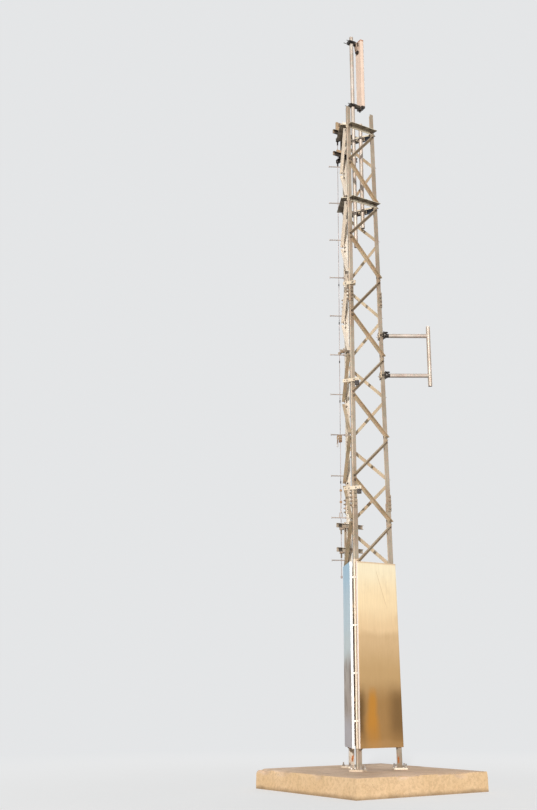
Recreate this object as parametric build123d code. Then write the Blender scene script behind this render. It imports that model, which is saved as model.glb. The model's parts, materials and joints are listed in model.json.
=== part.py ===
from build123d import *
from math import atan2, cos, degrees, radians, sin, sqrt
import os

# Three-legged lattice tower for radio antennas, standing on a square concrete pad.
# Millimetres, +Z up. The origin is the middle of the pad's underside, the tower's axis is Z, and
# the front face of the lattice looks along -Y. What repeats on the three faces or the three legs
# is built once, for the front face or the front leg, and turned by a third.

os.makedirs("parts", exist_ok=True)

# Concrete pad
pad_side = 2190
pad_thick = 260
pad_edge = 12

# Outline of the lattice
base_face_width = 791
top_face_width = 535
section_length = 3048
stub_length = 519
panels_per_section = 5
top_overhang = 305

# Legs: sheet bent to a V
leg_angle = 60
leg_thick = 5
leg_bend = 12
upper_flange = 76
middle_flange = 78
lower_flange = 89
section_gap = 2

# Foot plates
foot_side = 190
foot_thick = 25
foot_corner = 12

# Splice plates folded round the outside of the legs
splice_length = 236
splice_thick = 8
splice_edge = 4
splice_bend_ease = 2

# Bracing angles
brace_leg = 45
brace_thick = 5
brace_gauge = 22
brace_end = 20
brace_corner_gap = 8
brace_gap = 11
brace_spread = 1.5

# Mast frames: angles around the three faces
frame_steps = (0, 2)
frame_upright = 48
frame_outstand = 95
frame_thick = 6
frame_inset = 20
frame_drop = 25

# Masts, and the plates and U-bolts that hold them
plate_height = 80
plate_thick = 8
plate_drop = 72
plate_inset = 42
mast_radius = 30.15
mast_wall = 3.9
mast_spacing = 118
mast_web = 3
mast_cap = 4
saddle_cheek = 7
saddle_height = 44
saddle_depth = 16
u_bolt_radius = 6
u_bolt_tail = 26
antenna_mast_tail = 634
antenna_mast_rise = 1745
spare_mast_tail = 349
spare_mast_rise = 180

# Panel antenna
antenna_width = 156
antenna_depth = 67
antenna_length = 1195
antenna_gap = 90
antenna_heading = -7
antenna_top_drop = 40
antenna_front_corner = 26
antenna_back_corner = 6
antenna_cap_height = 28
antenna_cap_lip = 2
socket_radius = 11
socket_length = 34
socket_nut_radius = 16
socket_nut_length = 12

# Antenna brackets
bracket_height = 46
bracket_cheek = 8
bracket_jaw = 26
bracket_split = 4
bracket_lug_height = 28
bracket_bolt_radius = 5
bracket_bolt_length = 150
bracket_bolt_proud = 8
bracket_link_wall = 4
bracket_link_width = 48
upper_bracket_drop = 60
lower_bracket_rise = 20
tilt_arm_width = 22
tilt_arm_thick = 5
tilt_arm_drop = 140
tilt_arm_reach = 45
tilt_lug_depth = 30
tilt_lug_height = 40

# Side arms and the pipe they hold off the right leg
arm_steps = (5.5, 6.5)
arm_rise = 54
arm_reach = 660
arm_radius = 30.15
arm_wall = 3.6
arm_pipe_tail = 150
arm_pipe_rise = 154
arm_clamp_width = 150
arm_clamp_height = 100
arm_gusset_length = 42
arm_disc_radius = 37
arm_disc_thick = 8
arm_post_radius = 16

# Clamps around a leg
clamp_thick = 10
clamp_bolt_radius = 6
clamp_bolt_gap = 14
clamp_bolt_tail = 18
clamp_bar_end = 16

# Step bolts on the back leg
peg_radius = 8
peg_length = 215
peg_head_radius = 15
peg_head_thick = 7
peg_splice_gap = 39
peg_edge = 38

# Safety cable up the back leg
cable_radius = 4.75
cable_standoff = 115
cable_foot_drop = 67
cable_head_drop = 48
cable_knob_radius = 14
cable_knob_height = 36

# Brackets at the two ends of the cable
cable_bar_length = 470
cable_bar_height = 60
cable_bar_depth = 30
cable_bar_wall = 5
cable_plate_height = 30
cable_post_width = 40
cable_post_depth = 22
cable_arm_width = 40
cable_arm_over = 18
cable_sleeve_radius = 12
cable_sleeve_length = 58
top_bar_rises = (62, -308)
top_post_rises = (197, -353)
bottom_bar_step = 10
bottom_bar_rises = (12, -332)
bottom_post_rises = (83, -507)

# Guide, grab and tensioner on the cable
guide_over_peg = 61
guide_peg = 5
guide_height = 50
guide_arm = (24, 12)
guide_pad = (34, 30, 46)
grab_step = 8
grab_rise = 114
grab_body = (50, 26, 112)
grab_bow_radius = 34
grab_bow_hole = 17
grab_bow_thick = 14
grab_bow_place = (46, 28)
grab_tail_place = 68
grab_tail = (14, 10, 96)
tensioner_gap = 60
tensioner_length = 340
tensioner_radius = 8
tensioner_collar_radius = 18
tensioner_collar_height = 30
tensioner_eye_length = 92
tensioner_eye_width = 58
tensioner_eye_rod = 8

# Cable hangers on the front leg
hanger_over_splice = 10
middle_hanger_step = 7
middle_hanger_rise = 194
hanger_lengths = (195, 250, 260)
hanger_height = 50
hanger_hole_radius = 9
hanger_hole_inset = 30
hanger_blocks = (False, True, True)
hanger_block = (50, 46, 66)

# Climb shields: trays of folded sheet over the lowest panels
shield_foot = 545
shield_height = 2440
shield_inset = 23
shield_sheet = 2
shield_clearance = 6

# Clearance of round fits and of clamped faces, and the sides of small round bars
fit_gap = 0.3
rod_sides = 8

# Sizes that follow from the ones above
half_leg_angle = radians(leg_angle / 2)
leg_nose = leg_bend / sin(half_leg_angle) - leg_bend
panel_height = section_length / panels_per_section
foot_level = pad_thick + foot_thick
tower_height = 3 * section_length + stub_length
leg_top = foot_level + tower_height
lower_joint = foot_level + stub_length + section_length
upper_joint = lower_joint + section_length
brace_top_level = leg_top - top_overhang
brace_count = int((brace_top_level - foot_level) / panel_height)
brace_reach = max(brace_gauge, brace_leg - brace_gauge)
shield_depth = brace_leg + shield_clearance
shield_top = shield_foot + shield_height


# Shared measures
def face_width(level):
    """Width of a lattice face between the leg corners at a height."""
    return base_face_width + (top_face_width - base_face_width) * (level - foot_level) / tower_height


def corner_radius(level):
    """Distance from the tower's axis to a leg's corner."""
    return face_width(level) / sqrt(3)


def face_radius(level):
    """Distance from the tower's axis to the plane of a face."""
    return face_width(level) / (2 * sqrt(3))


def front_corner(level):
    """Corner of the front leg, where the front and left faces meet."""
    return Vector(-face_width(level) / 2, -face_radius(level), level)


def brace_level(step):
    """Height of a bracing point, counted down from the uppermost."""
    return brace_top_level - panel_height * step


face_lean = atan2(face_radius(foot_level) - face_radius(leg_top), tower_height)
leg_lean = atan2(corner_radius(foot_level) - corner_radius(leg_top), tower_height)
front_face = Plane(
    origin=(0, -face_radius(foot_level), foot_level),
    x_dir=(1, 0, 0),
    z_dir=(0, -cos(face_lean), sin(face_lean)),
)


def up_face(level):
    """Distance along the sloping face at a height."""
    return (level - foot_level) / cos(face_lean)


def flange_at(level):
    """Flange width of the leg section at a height."""
    if level > upper_joint:
        return upper_flange
    return middle_flange if level > lower_joint else lower_flange


def vee_reach(flange):
    """How far a leg's flanges reach behind its corner, along the middle of the V."""
    return flange * cos(half_leg_angle) + leg_thick * sin(half_leg_angle)


def turned(shape, index):
    """Copy of a front piece on the next leg or face round."""
    return shape.rotate(Axis.Z, 120 * index)


def all_round(shape):
    """The same piece on all three legs or faces."""
    return [turned(shape, index) for index in range(3)]


def rod(radius, length):
    """Small bar along +Z from the origin, round enough at its size."""
    return extrude(RegularPolygon(radius, rod_sides), length)


def cross_rod(radius, length):
    """Small bar along +X from the origin."""
    return Rot(0, 90, 0) * rod(radius, length)


def box_from(low_x, size):
    """Box whose near end lies at a distance along +X, centred on the other two axes."""
    return Pos(low_x, 0, 0) * Box(*size, align=(Align.MIN, Align.CENTER, Align.CENTER))


def tube(radius, wall, length):
    """Round pipe along +Z from the origin."""
    upright = (Align.CENTER, Align.CENTER, Align.MIN)
    return Cylinder(radius, length, align=upright) - Cylinder(radius - wall, length, align=upright)


written = {}


def save(name, shapes):
    """Write one named node, as one solid or as several that lie apart."""
    solids = []
    for shape in shapes:
        solids.extend(shape.solids())
    node = solids[0] if len(solids) == 1 else Compound(children=solids)
    export_step(node, f"parts/{name}.step")
    written[name] = solids


# Pad and feet
def concrete_pad():
    pad = Box(pad_side, pad_side, pad_thick, align=(Align.CENTER, Align.CENTER, Align.MIN))
    return chamfer(pad.edges().group_by(Axis.Z)[-1], pad_edge)


def foot_plate():
    corner = front_corner(foot_level)
    middle = Vector(corner.X, corner.Y, 0) * (1 - lower_flange / 2 / corner_radius(foot_level))
    outline = Rectangle(foot_side, foot_side)
    plate = extrude(chamfer(outline.vertices(), foot_corner), foot_thick)
    return Pos(middle.X, middle.Y, pad_thick) * Rot(0, 0, leg_angle / 2) * plate


# Legs and splices
def vee(flange, thick, bend):
    """V profile with its sharp corner at the origin and one side along +X."""
    reach = thick / sin(half_leg_angle)
    inside = (reach * cos(half_leg_angle), reach * sin(half_leg_angle))
    far_x = flange * cos(2 * half_leg_angle)
    far_y = flange * sin(2 * half_leg_angle)
    outline = Polyline(
        (0, 0),
        (flange, 0),
        (flange, thick),
        inside,
        (far_x + thick * sin(2 * half_leg_angle), far_y - thick * cos(2 * half_leg_angle)),
        (far_x, far_y),
        close=True,
    )
    face = make_face(outline)
    face = fillet(face.vertices().sort_by_distance((0, 0))[0], bend)
    return fillet(face.vertices().sort_by_distance(inside)[0], bend - thick)


def along_leg(profile, low, high, outward=0):
    """Stretch of a profile that follows the front leg's corner."""
    shift = Vector(cos(half_leg_angle), sin(half_leg_angle), 0) * -outward
    start = front_corner(low) + shift
    path = front_corner(high) + shift - start
    return extrude(Location(start) * profile, amount=path.length, dir=path)


def leg_section(low, high, flange):
    return along_leg(vee(flange, leg_thick, leg_bend), low, high)


def splice(joint, flange):
    """V plate outside a leg joint, bent a little sharper than the leg so that its sides seat first."""
    width = flange - splice_edge + splice_thick / sin(half_leg_angle) * cos(half_leg_angle)
    profile = vee(width, splice_thick, leg_bend + splice_thick - splice_bend_ease)
    half = splice_length / 2
    return along_leg(profile, joint - half, joint + half, splice_thick / sin(half_leg_angle))


# Bracing
def angle_profile(leg, outstand, thick, above):
    """Angle section on the YZ plane: upright against the face, outstanding side on top."""
    return Plane.YZ * make_face(Polyline(
        (above - leg, 0),
        (above, 0),
        (above, outstand),
        (above - thick, outstand),
        (above - thick, thick),
        (above - leg, thick),
        close=True,
    ))


def joint_level(step):
    """Height of the middle of a bracing joint, a little lower where a mast frame crosses it."""
    return brace_level(step) - (frame_drop if step in frame_steps else 0)


def brace_point(step, side):
    """Where a brace is bolted: side -1 is the left leg of the face, 1 the right."""
    level = joint_level(step)
    edge = shield_inset + shield_sheet if level < shield_top else brace_corner_gap
    mark = edge + brace_gap + brace_reach
    return Vector(side * (face_width(level) / 2 - mark), up_face(level), 0)


def half_gap(step):
    """Half the distance between two braces' ends at a bracing point."""
    gap = brace_spread * brace_reach
    return gap + frame_upright / 2 if step in frame_steps else gap


def brace(step):
    """Diagonal from one bracing point down to the next, on the other leg."""
    upper_side = 1 if step % 2 == 0 else -1
    upper = brace_point(step, upper_side) - Vector(0, half_gap(step), 0)
    lower = brace_point(step + 1, -upper_side) + Vector(0, half_gap(step + 1), 0)
    left, right = (lower, upper) if upper_side > 0 else (upper, lower)
    run = right - left
    profile = angle_profile(brace_leg, brace_leg, brace_thick, brace_gauge)
    bar = Pos(-brace_end, 0, 0) * extrude(profile, run.length + 2 * brace_end)
    return front_face * (Location(left) * (Rot(0, 0, degrees(atan2(run.Y, run.X))) * bar))


# Mast frames
def frame_member(step):
    """Horizontal angle across the front face between the ends of its braces."""
    level = joint_level(step)
    length = face_width(level) - 2 * frame_inset
    profile = angle_profile(frame_upright, frame_outstand, frame_thick, frame_upright / 2)
    return front_face * (Pos(-length / 2, up_face(level), 0) * extrude(profile, length))


# Masts: upright pipes behind the back face, modelled behind the front face and turned
mast_axis_radius = face_radius(brace_level(0)) - leg_thick - plate_thick - mast_web - mast_radius
mast_places = (-mast_spacing / 2, mast_spacing / 2)
u_bolt_half_width = mast_radius + fit_gap + u_bolt_radius


def plate_level(step):
    """Height of the middle of a mast plate."""
    return brace_level(step) - plate_drop


def mast_plate(step):
    """Flat bar inside a face, with holes for the U-bolts of both masts."""
    level = plate_level(step)
    width = face_width(level) - 2 * plate_inset
    plate = Pos(0, 0, -leg_thick - plate_thick / 2) * Box(width, plate_height, plate_thick)
    for place in mast_places:
        for side in (-1, 1):
            hole = rod(u_bolt_radius + fit_gap, 2 * plate_thick)
            plate -= Pos(place + side * u_bolt_half_width, 0, -leg_thick - 1.5 * plate_thick) * hole
    return front_face * (Pos(0, up_face(level), 0) * plate)


def mast_depth(level):
    """How far behind the front face's plane the masts' axis lies."""
    return (face_radius(level) - mast_axis_radius) / cos(face_lean)


def mast_saddle(step, place):
    """Block between the plate and a mast, hollowed to the mast and slotted for its U-bolt."""
    level = plate_level(step)
    back = leg_thick + plate_thick
    depth = mast_depth(level) - back - mast_radius + saddle_depth
    block = Pos(0, 0, -back - depth / 2) * Box(2 * (mast_radius + saddle_cheek), saddle_height, depth)
    for side in (-1, 1):
        slot = rod(u_bolt_radius + fit_gap, 2 * depth)
        block -= Pos(side * u_bolt_half_width, 0, -back - 1.5 * depth) * slot
    bore = Pos(place, -mast_axis_radius, level) * Cylinder(mast_radius + fit_gap, 4 * saddle_height)
    return front_face * (Pos(place, up_face(level), 0) * block) - bore


def mast_u_bolt(step, place):
    """U-bolt round a mast, through its saddle and plate."""
    level = plate_level(step)
    half = u_bolt_half_width
    depth = -mast_depth(level)
    tail = u_bolt_tail - leg_thick - plate_thick
    path = Polyline((-half, 0, tail), (-half, 0, depth))
    path += ThreePointArc((-half, 0, depth), (0, 0, depth - half), (half, 0, depth))
    path += Polyline((half, 0, depth), (half, 0, tail))
    section = Plane(origin=(-half, 0, tail), z_dir=(0, 0, -1)) * RegularPolygon(u_bolt_radius, rod_sides)
    return front_face * (Pos(place, up_face(level), 0) * sweep(section, path=path))


def mast(place, foot, top):
    """Pipe closed by a cap at its top."""
    pipe = tube(mast_radius, mast_wall, top - foot)
    pipe += Pos(0, 0, top - foot - mast_cap) * Cylinder(
        mast_radius, mast_cap, align=(Align.CENTER, Align.CENTER, Align.MIN))
    return Pos(place, -mast_axis_radius, foot) * pipe


# Panel antenna and its brackets, built with the mast's axis at the origin and facing +X
antenna_back = mast_radius + antenna_gap
antenna_top = brace_level(0) + antenna_mast_rise - antenna_top_drop
antenna_foot = antenna_top - antenna_length
upper_bracket_level = antenna_top - upper_bracket_drop
lower_bracket_level = antenna_foot + lower_bracket_rise


def on_antenna_mast(shape):
    spot = Vector(mast_places[1], -mast_axis_radius, 0).rotate(Axis.Z, 120)
    return Pos(spot.X, spot.Y, 0) * (Rot(0, 0, antenna_heading) * shape)


def antenna_profile(lip):
    """Section of the antenna's shell, with its flat back on X = 0 and grown all round by a lip."""
    width = antenna_width + 2 * lip
    depth = antenna_depth + 2 * lip
    profile = Pos(depth / 2 - lip, 0, 0) * Rectangle(depth, width)
    profile = fillet(profile.vertices().group_by(Axis.X)[-1], antenna_front_corner + lip)
    return fillet(profile.vertices().group_by(Axis.X)[0], antenna_back_corner + lip)


def panel_antenna():
    """Long shell with a slightly wider cap on each end."""
    shell = extrude(antenna_profile(0), antenna_length)
    cap = extrude(antenna_profile(antenna_cap_lip), antenna_cap_height)
    shell += cap
    shell += Pos(0, 0, antenna_length - antenna_cap_height) * cap
    return on_antenna_mast(Pos(antenna_back + antenna_cap_lip, 0, antenna_foot) * shell)


def antenna_connectors():
    """Two threaded cable sockets under the antenna, each with its nut."""
    sockets = []
    for side in (-1, 1):
        socket = Pos(0, 0, -socket_length) * Cylinder(
            socket_radius, socket_length, align=(Align.CENTER, Align.CENTER, Align.MIN))
        nut = extrude(RegularPolygon(socket_nut_radius, 6), -socket_nut_length)
        place = Pos(antenna_back + antenna_depth / 2, side * antenna_width / 4, antenna_foot)
        sockets.append(on_antenna_mast(place * (socket + nut)))
    return sockets


def bracket_half(front):
    """One jaw round the mast with its bolt lugs, opening towards -X, with the mast's axis at X = 0."""
    width = 2 * (mast_radius + bracket_cheek)
    bolt_y = width / 2 + bracket_bolt_radius + 1
    half = box_from(bracket_split, (bracket_jaw + mast_radius, width, bracket_height))
    half += box_from(bracket_split, (bracket_jaw, 2 * bolt_y + 4 * bracket_bolt_radius, bracket_lug_height))
    if front:
        start = bracket_split + bracket_jaw + mast_radius
        length = antenna_back - start
        half += box_from(start, (length, bracket_link_width, bracket_height))
        half -= Pos(0, 0, bracket_link_wall) * box_from(
            start, (length, bracket_link_width - 2 * bracket_link_wall, bracket_height))
    half -= Cylinder(mast_radius + fit_gap, 2 * bracket_height)
    for side in (-1, 1):
        if front:
            half -= Pos(0, side * bolt_y, 0) * cross_rod(bracket_bolt_radius + fit_gap, 4 * bracket_jaw)
        else:
            start = -bracket_split - bracket_jaw - bracket_bolt_proud
            half += Pos(start, side * bolt_y, 0) * cross_rod(bracket_bolt_radius, bracket_bolt_length)
    return half


def antenna_bracket(level):
    """Front jaw with its link to the antenna, and rear jaw whose long bolts pass through both."""
    rear = bracket_half(False).rotate(Axis.Z, 180)
    return [on_antenna_mast(Pos(0, 0, level) * half) for half in (bracket_half(True), rear)]


def tilt_arm():
    """Yoke astride the upper bracket's link, down to a lug on the antenna's back."""
    lug_level = upper_bracket_level - tilt_arm_drop
    lug_size = (tilt_lug_depth, bracket_link_width, tilt_lug_height)
    lug = Pos(0, 0, lug_level) * box_from(antenna_back + antenna_cap_lip - tilt_lug_depth, lug_size)
    start = Vector(antenna_back - tilt_arm_reach, upper_bracket_level)
    end = Vector(antenna_back - tilt_arm_width, lug_level)
    run = end - start
    spread = bracket_link_width + 2 * fit_gap
    yoke = Box(run.length + tilt_arm_width, spread + 2 * tilt_arm_thick, tilt_arm_width)
    yoke -= Box(run.length + 2 * tilt_arm_width, spread, tilt_arm_width)
    web = Box(run.length - bracket_height - tilt_lug_height, spread, tilt_arm_thick)
    yoke += Pos(0, 0, (tilt_arm_thick - tilt_arm_width) / 2) * web
    placing = Pos((start.X + end.X) / 2, 0, (start.Y + end.Y) / 2) * Rot(0, -degrees(atan2(run.Y, run.X)), 0)
    return [on_antenna_mast(placing * yoke), on_antenna_mast(lug)]


# Clamps on a leg: built with the leg's corner at the origin, pointing outward along +X
def on_leg(shape, index, level):
    """Put a piece built at a leg's corner on that leg: 0 front, 1 right, 2 back."""
    placed = Pos(corner_radius(level), 0, level) * (Rot(0, -degrees(leg_lean), 0) * shape)
    return placed.rotate(Axis.Z, 210 + 120 * index)


clamp_face = fit_gap - leg_nose


def stud_place(flange):
    """How far a clamp's studs stand to each side, just clear of the flange tips."""
    return flange * sin(half_leg_angle) + clamp_bolt_gap


def leg_clamp(flange, width, height, bar_width, bar_height):
    """Front plate with two studs, and the back bar that they draw against the flanges."""
    back = -vee_reach(flange) - fit_gap
    plate = box_from(clamp_face, (clamp_thick, width, height))
    bar = box_from(back - clamp_thick, (clamp_thick, bar_width, bar_height))
    stud_start = back - clamp_thick - clamp_bolt_tail
    for side in (-1, 1):
        place = Pos(stud_start, side * stud_place(flange), 0)
        plate += place * cross_rod(clamp_bolt_radius, clamp_face - stud_start)
        bar -= place * cross_rod(clamp_bolt_radius + fit_gap, 2 * clamp_bolt_tail)
    return plate, bar


# Side arms
arm_levels = [brace_level(step) + arm_rise for step in arm_steps]


def arm_pipe_solid(radius):
    """Upright rod of a radius at the side arms' outer end."""
    foot = arm_levels[-1] - arm_pipe_tail
    middle = sum(arm_levels) / len(arm_levels)
    rod_length = arm_levels[0] + arm_pipe_rise - foot
    upright = Pos(corner_radius(middle) + arm_reach, 0, foot) * Cylinder(
        radius, rod_length, align=(Align.CENTER, Align.CENTER, Align.MIN))
    return upright.rotate(Axis.Z, 330)


def side_arm_pipe():
    return arm_pipe_solid(arm_radius) - arm_pipe_solid(arm_radius - arm_wall)


def side_arm(level):
    """Tube welded to a clamp plate, with a gusset below it and a pivot disc on a short post above."""
    half_height = arm_clamp_height / 2
    clamp_size = (arm_clamp_width, arm_clamp_height)
    plate, bar = leg_clamp(middle_flange, *clamp_size, *clamp_size)
    start = clamp_face + clamp_thick
    outward = Pos(start, 0, 0) * Rot(0, 90, 0)
    upright = (Align.CENTER, Align.CENTER, Align.MIN)
    length = arm_reach - arm_radius / 4 - start
    arm = plate + outward * Cylinder(arm_radius, length, align=upright)
    gusset = Plane.XZ * make_face(Polyline(
        (start, -half_height),
        (start, 0),
        (start + arm_gusset_length, 0),
        (start + arm_gusset_length, -arm_radius),
        close=True,
    ))
    arm += extrude(gusset, clamp_thick / 2, both=True)
    disc_place = Pos(start + arm_disc_radius - clamp_thick / 2, 0, 0)
    arm += disc_place * rod(arm_post_radius, half_height)
    arm += disc_place * Pos(0, 0, half_height) * Cylinder(arm_disc_radius, arm_disc_thick)
    arm -= outward * Cylinder(arm_radius - arm_wall, length, align=upright)
    return on_leg(arm, 1, level) - arm_pipe_solid(arm_radius + fit_gap), on_leg(bar, 1, level)


# Step bolts
peg_top_level = upper_joint + (panels_per_section - 1) * panel_height - (
    splice_length / 2 + peg_splice_gap + peg_radius)


def peg():
    """Step bolt along +Z: shank and head."""
    head = rod(peg_head_radius, peg_head_thick)
    return rod(peg_radius, peg_length) + Pos(0, 0, peg_length - peg_head_thick) * head


def peg_row(index, side, top):
    """Step bolts up one leg on one face, down to the shield: side -1 is the left leg of that face."""
    pegs = []
    count = int((top - shield_top - 2 * peg_radius) / panel_height) + 1
    for step in range(count):
        level = top - panel_height * step
        x = side * (face_width(level) / 2 - peg_edge)
        pegs.append(turned(front_face * (Pos(x, up_face(level), 0) * peg()), index))
    return pegs


# Safety cable and what holds it, on the back leg
cable_foot = brace_level(bottom_bar_step + 1) - cable_foot_drop
cable_head = leg_top - cable_head_drop


def cable_line(section):
    """A section carried along the cable's straight line."""
    low = Vector(0, corner_radius(cable_foot) + cable_standoff, cable_foot)
    high = Vector(0, corner_radius(cable_head) + cable_standoff, cable_head)
    return extrude(Plane(origin=low, z_dir=high - low) * section, (high - low).length)


def cable_bore():
    """What is cut from a piece that the cable runs through."""
    return cable_line(RegularPolygon(cable_radius + fit_gap, rod_sides, major_radius=False))


def along_cable(shape, level):
    """Put a piece built on the Z axis on the cable."""
    return on_leg(Pos(cable_standoff, 0, 0) * shape, 2, level)


def safety_cable():
    knob = Cylinder(cable_knob_radius, cable_knob_height, align=(Align.CENTER, Align.CENTER, Align.MAX))
    return cable_line(Circle(cable_radius)) + along_cable(knob, cable_foot)


def cable_channel(flange):
    """Long channel behind the leg with holes for the clamp's studs."""
    back = -vee_reach(flange) - fit_gap
    inner_height = cable_bar_height - 2 * cable_bar_wall
    channel = box_from(back - cable_bar_depth, (cable_bar_depth, cable_bar_length, cable_bar_height))
    channel -= box_from(back - cable_bar_depth, (
        cable_bar_depth - cable_bar_wall, cable_bar_length, inner_height))
    for side in (-1, 1):
        hole = cross_rod(clamp_bolt_radius + fit_gap, 2 * cable_bar_depth)
        channel -= Pos(back - cable_bar_depth, side * stud_place(flange), 0) * hole
    return channel


def cable_arm(start):
    """Channel from the post out past the cable, with a sleeve for the cable under its end."""
    length = cable_standoff + cable_arm_over - start
    inner_height = cable_bar_height - 2 * cable_bar_wall
    arm = box_from(start, (length, cable_arm_width, cable_bar_height))
    arm -= Pos(0, cable_bar_wall, 0) * box_from(
        start + cable_bar_wall, (length - 2 * cable_bar_wall, cable_arm_width, inner_height))
    sleeve = rod(cable_sleeve_radius, cable_sleeve_length)
    return arm + Pos(cable_standoff, 0, -cable_bar_height / 2 - cable_sleeve_length) * sleeve


def cable_bracket(near_level, bar_rises, post_rises):
    """Post on the leg's corner, held by two clamps, with an arm to the cable at each of them."""
    flange = flange_at(near_level)
    front = clamp_face + clamp_thick
    post_length = post_rises[0] - post_rises[1]
    post = box_from(front, (cable_post_depth, cable_post_width, post_length))
    post -= box_from(front, (
        cable_post_depth - cable_bar_wall, cable_post_width - 2 * cable_bar_wall, post_length))
    pieces = [on_leg(post, 2, near_level + sum(post_rises) / 2)]
    plate, _ = leg_clamp(flange, 2 * flange, cable_plate_height, 2 * flange, cable_plate_height)
    for rise in bar_rises:
        level = near_level + rise
        pieces.append(on_leg(plate, 2, level))
        pieces.append(on_leg(cable_arm(front + cable_post_depth), 2, level) - cable_bore())
        pieces.append(on_leg(cable_channel(flange), 2, level))
    return pieces


def cable_guide():
    """Mid bracket: plate on the leg with an arm and a pad that the cable runs through."""
    level = peg_top_level - panel_height * guide_peg + guide_over_peg
    width = 2 * middle_flange
    plate, bar = leg_clamp(middle_flange, width, guide_height, width, guide_height)
    start = clamp_face + clamp_thick
    arm = box_from(start, (cable_standoff - start, *guide_arm))
    pad = Pos(cable_standoff, 0, 0) * Box(*guide_pad)
    return [on_leg(plate + arm + pad, 2, level) - cable_bore(), on_leg(bar, 2, level)]


def cable_tensioner():
    """Turnbuckle rod with a collar at each end, on the cable, and an eye below it."""
    body = rod(tensioner_radius, tensioner_length)
    for height in (tensioner_length / 2, tensioner_length):
        body += Pos(0, 0, height - tensioner_collar_height) * rod(
            tensioner_collar_radius, tensioner_collar_height)
    outer = SlotOverall(tensioner_eye_length, tensioner_eye_width)
    eye = extrude(outer - offset(outer, -tensioner_eye_rod), tensioner_eye_rod / 2, both=True)
    body += Pos(0, 0, tensioner_eye_rod - tensioner_eye_length / 2) * (Rot(0, 90, 0) * eye)
    foot = brace_level(bottom_bar_step) + bottom_post_rises[0] + tensioner_gap + tensioner_eye_length
    return along_cable(body, foot) - cable_bore()


def fall_arrest_grab():
    """Grab that slides on the cable: body, bow on its outer side, and a tail hanging from the bow."""
    body = Box(*grab_body)
    ring = Cylinder(grab_bow_radius, grab_bow_thick) - Cylinder(grab_bow_hole, grab_bow_thick)
    bow_x, bow_z = grab_bow_place
    body += Pos(bow_x, 0, bow_z) * (Rot(90, 0, 0) * ring)
    body += Pos(grab_tail_place, 0, bow_z - grab_tail[2] / 2) * Box(*grab_tail)
    return along_cable(body, brace_level(grab_step) + grab_rise) - cable_bore()


# Cable hangers on the front leg
def cable_hanger(level, length, with_block):
    """Bar across the leg with a hole near each end, its back bar, and on some a cable block."""
    flange = flange_at(level)
    bar_width = 2 * (stud_place(flange) + clamp_bar_end)
    plate, bar = leg_clamp(flange, length, hanger_height, bar_width, hanger_height)
    for side in (-1, 1):
        hole = cross_rod(hanger_hole_radius, 3 * clamp_thick)
        plate -= Pos(clamp_face - clamp_thick, side * (length / 2 - hanger_hole_inset), 0) * hole
    if with_block:
        wide, deep, tall = hanger_block
        plate += Pos(0, (length - wide) / 2, -(hanger_height + tall) / 2) * box_from(
            clamp_face, (deep, wide, tall))
    return [on_leg(plate, 0, level), on_leg(bar, 0, level)]


def hanger_levels():
    """One hanger just above each splice, and one between them."""
    above = splice_length / 2 + hanger_over_splice + hanger_height / 2
    middle = brace_level(middle_hanger_step) + middle_hanger_rise
    return [upper_joint + above, middle, lower_joint + above]


# Climb shields
def climb_shield():
    """Tray of folded sheet: a tapering panel with its long edges turned in to the legs."""
    low = up_face(shield_foot)
    high = up_face(shield_top)
    low_half = face_width(shield_foot) / 2 - shield_inset
    high_half = face_width(shield_top) / 2 - shield_inset

    def tapered(margin, depth):
        outline = Polyline(
            (-low_half + margin, low),
            (low_half - margin, low),
            (high_half - margin, high),
            (-high_half + margin, high),
            close=True,
        )
        return extrude(make_face(outline), depth)

    return front_face * (tapered(0, shield_depth + shield_sheet) - tapered(shield_sheet, shield_depth))


# Every node
save("concrete_pad", [concrete_pad()])
save("foot_plates", all_round(foot_plate()))

sections = {
    "lower": (foot_level, lower_joint - section_gap / 2, lower_flange),
    "middle": (lower_joint + section_gap / 2, upper_joint - section_gap / 2, middle_flange),
    "upper": (upper_joint + section_gap / 2, leg_top, upper_flange),
}
for part, (low, high, flange) in sections.items():
    for leg_name, piece in zip(("front", "right", "back"), all_round(leg_section(low, high, flange))):
        save(f"{leg_name}_leg_{part}", [piece])
save("lower_splice_plates", all_round(splice(lower_joint, middle_flange)))
save("upper_splice_plates", all_round(splice(upper_joint, upper_flange)))

braces = [brace(step) for step in range(brace_count)]
for index, face_name in enumerate(("front", "back", "left")):
    save(f"{face_name}_face_bracing", [turned(bar, index) for bar in braces])

for step, place in zip(frame_steps, ("upper", "lower")):
    save(f"{place}_mast_frame", all_round(frame_member(step)))
    save(f"{place}_mast_plate", [turned(mast_plate(step), 1)])
save("mast_saddles", [turned(mast_saddle(step, place), 1) for step in frame_steps for place in mast_places])
save("mast_u_bolts", [turned(mast_u_bolt(step, place), 1) for step in frame_steps for place in mast_places])
mast_tails = (spare_mast_tail, antenna_mast_tail)
mast_rises = (spare_mast_rise, antenna_mast_rise)
for name, place, tail, rise in zip(("spare_mast", "antenna_mast"), mast_places, mast_tails, mast_rises):
    foot = brace_level(frame_steps[-1]) - tail
    save(name, [turned(mast(place, foot, brace_level(0) + rise), 1)])

save("panel_antenna", [panel_antenna()])
save("antenna_upper_bracket", antenna_bracket(upper_bracket_level))
save("antenna_lower_bracket", antenna_bracket(lower_bracket_level))
save("antenna_tilt_arm", tilt_arm())
save("antenna_connectors", antenna_connectors())

clamp_bars = []
for level, place in zip(arm_levels, ("upper", "lower")):
    arm, bar = side_arm(level)
    save(f"{place}_side_arm", [arm])
    clamp_bars.append(bar)
save("side_arm_clamps", clamp_bars)
save("side_arm_pipe", [side_arm_pipe()])

save("left_step_bolts", peg_row(2, -1, peg_top_level))
save("back_step_bolts", peg_row(1, 1, peg_top_level - panel_height / 2))

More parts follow.
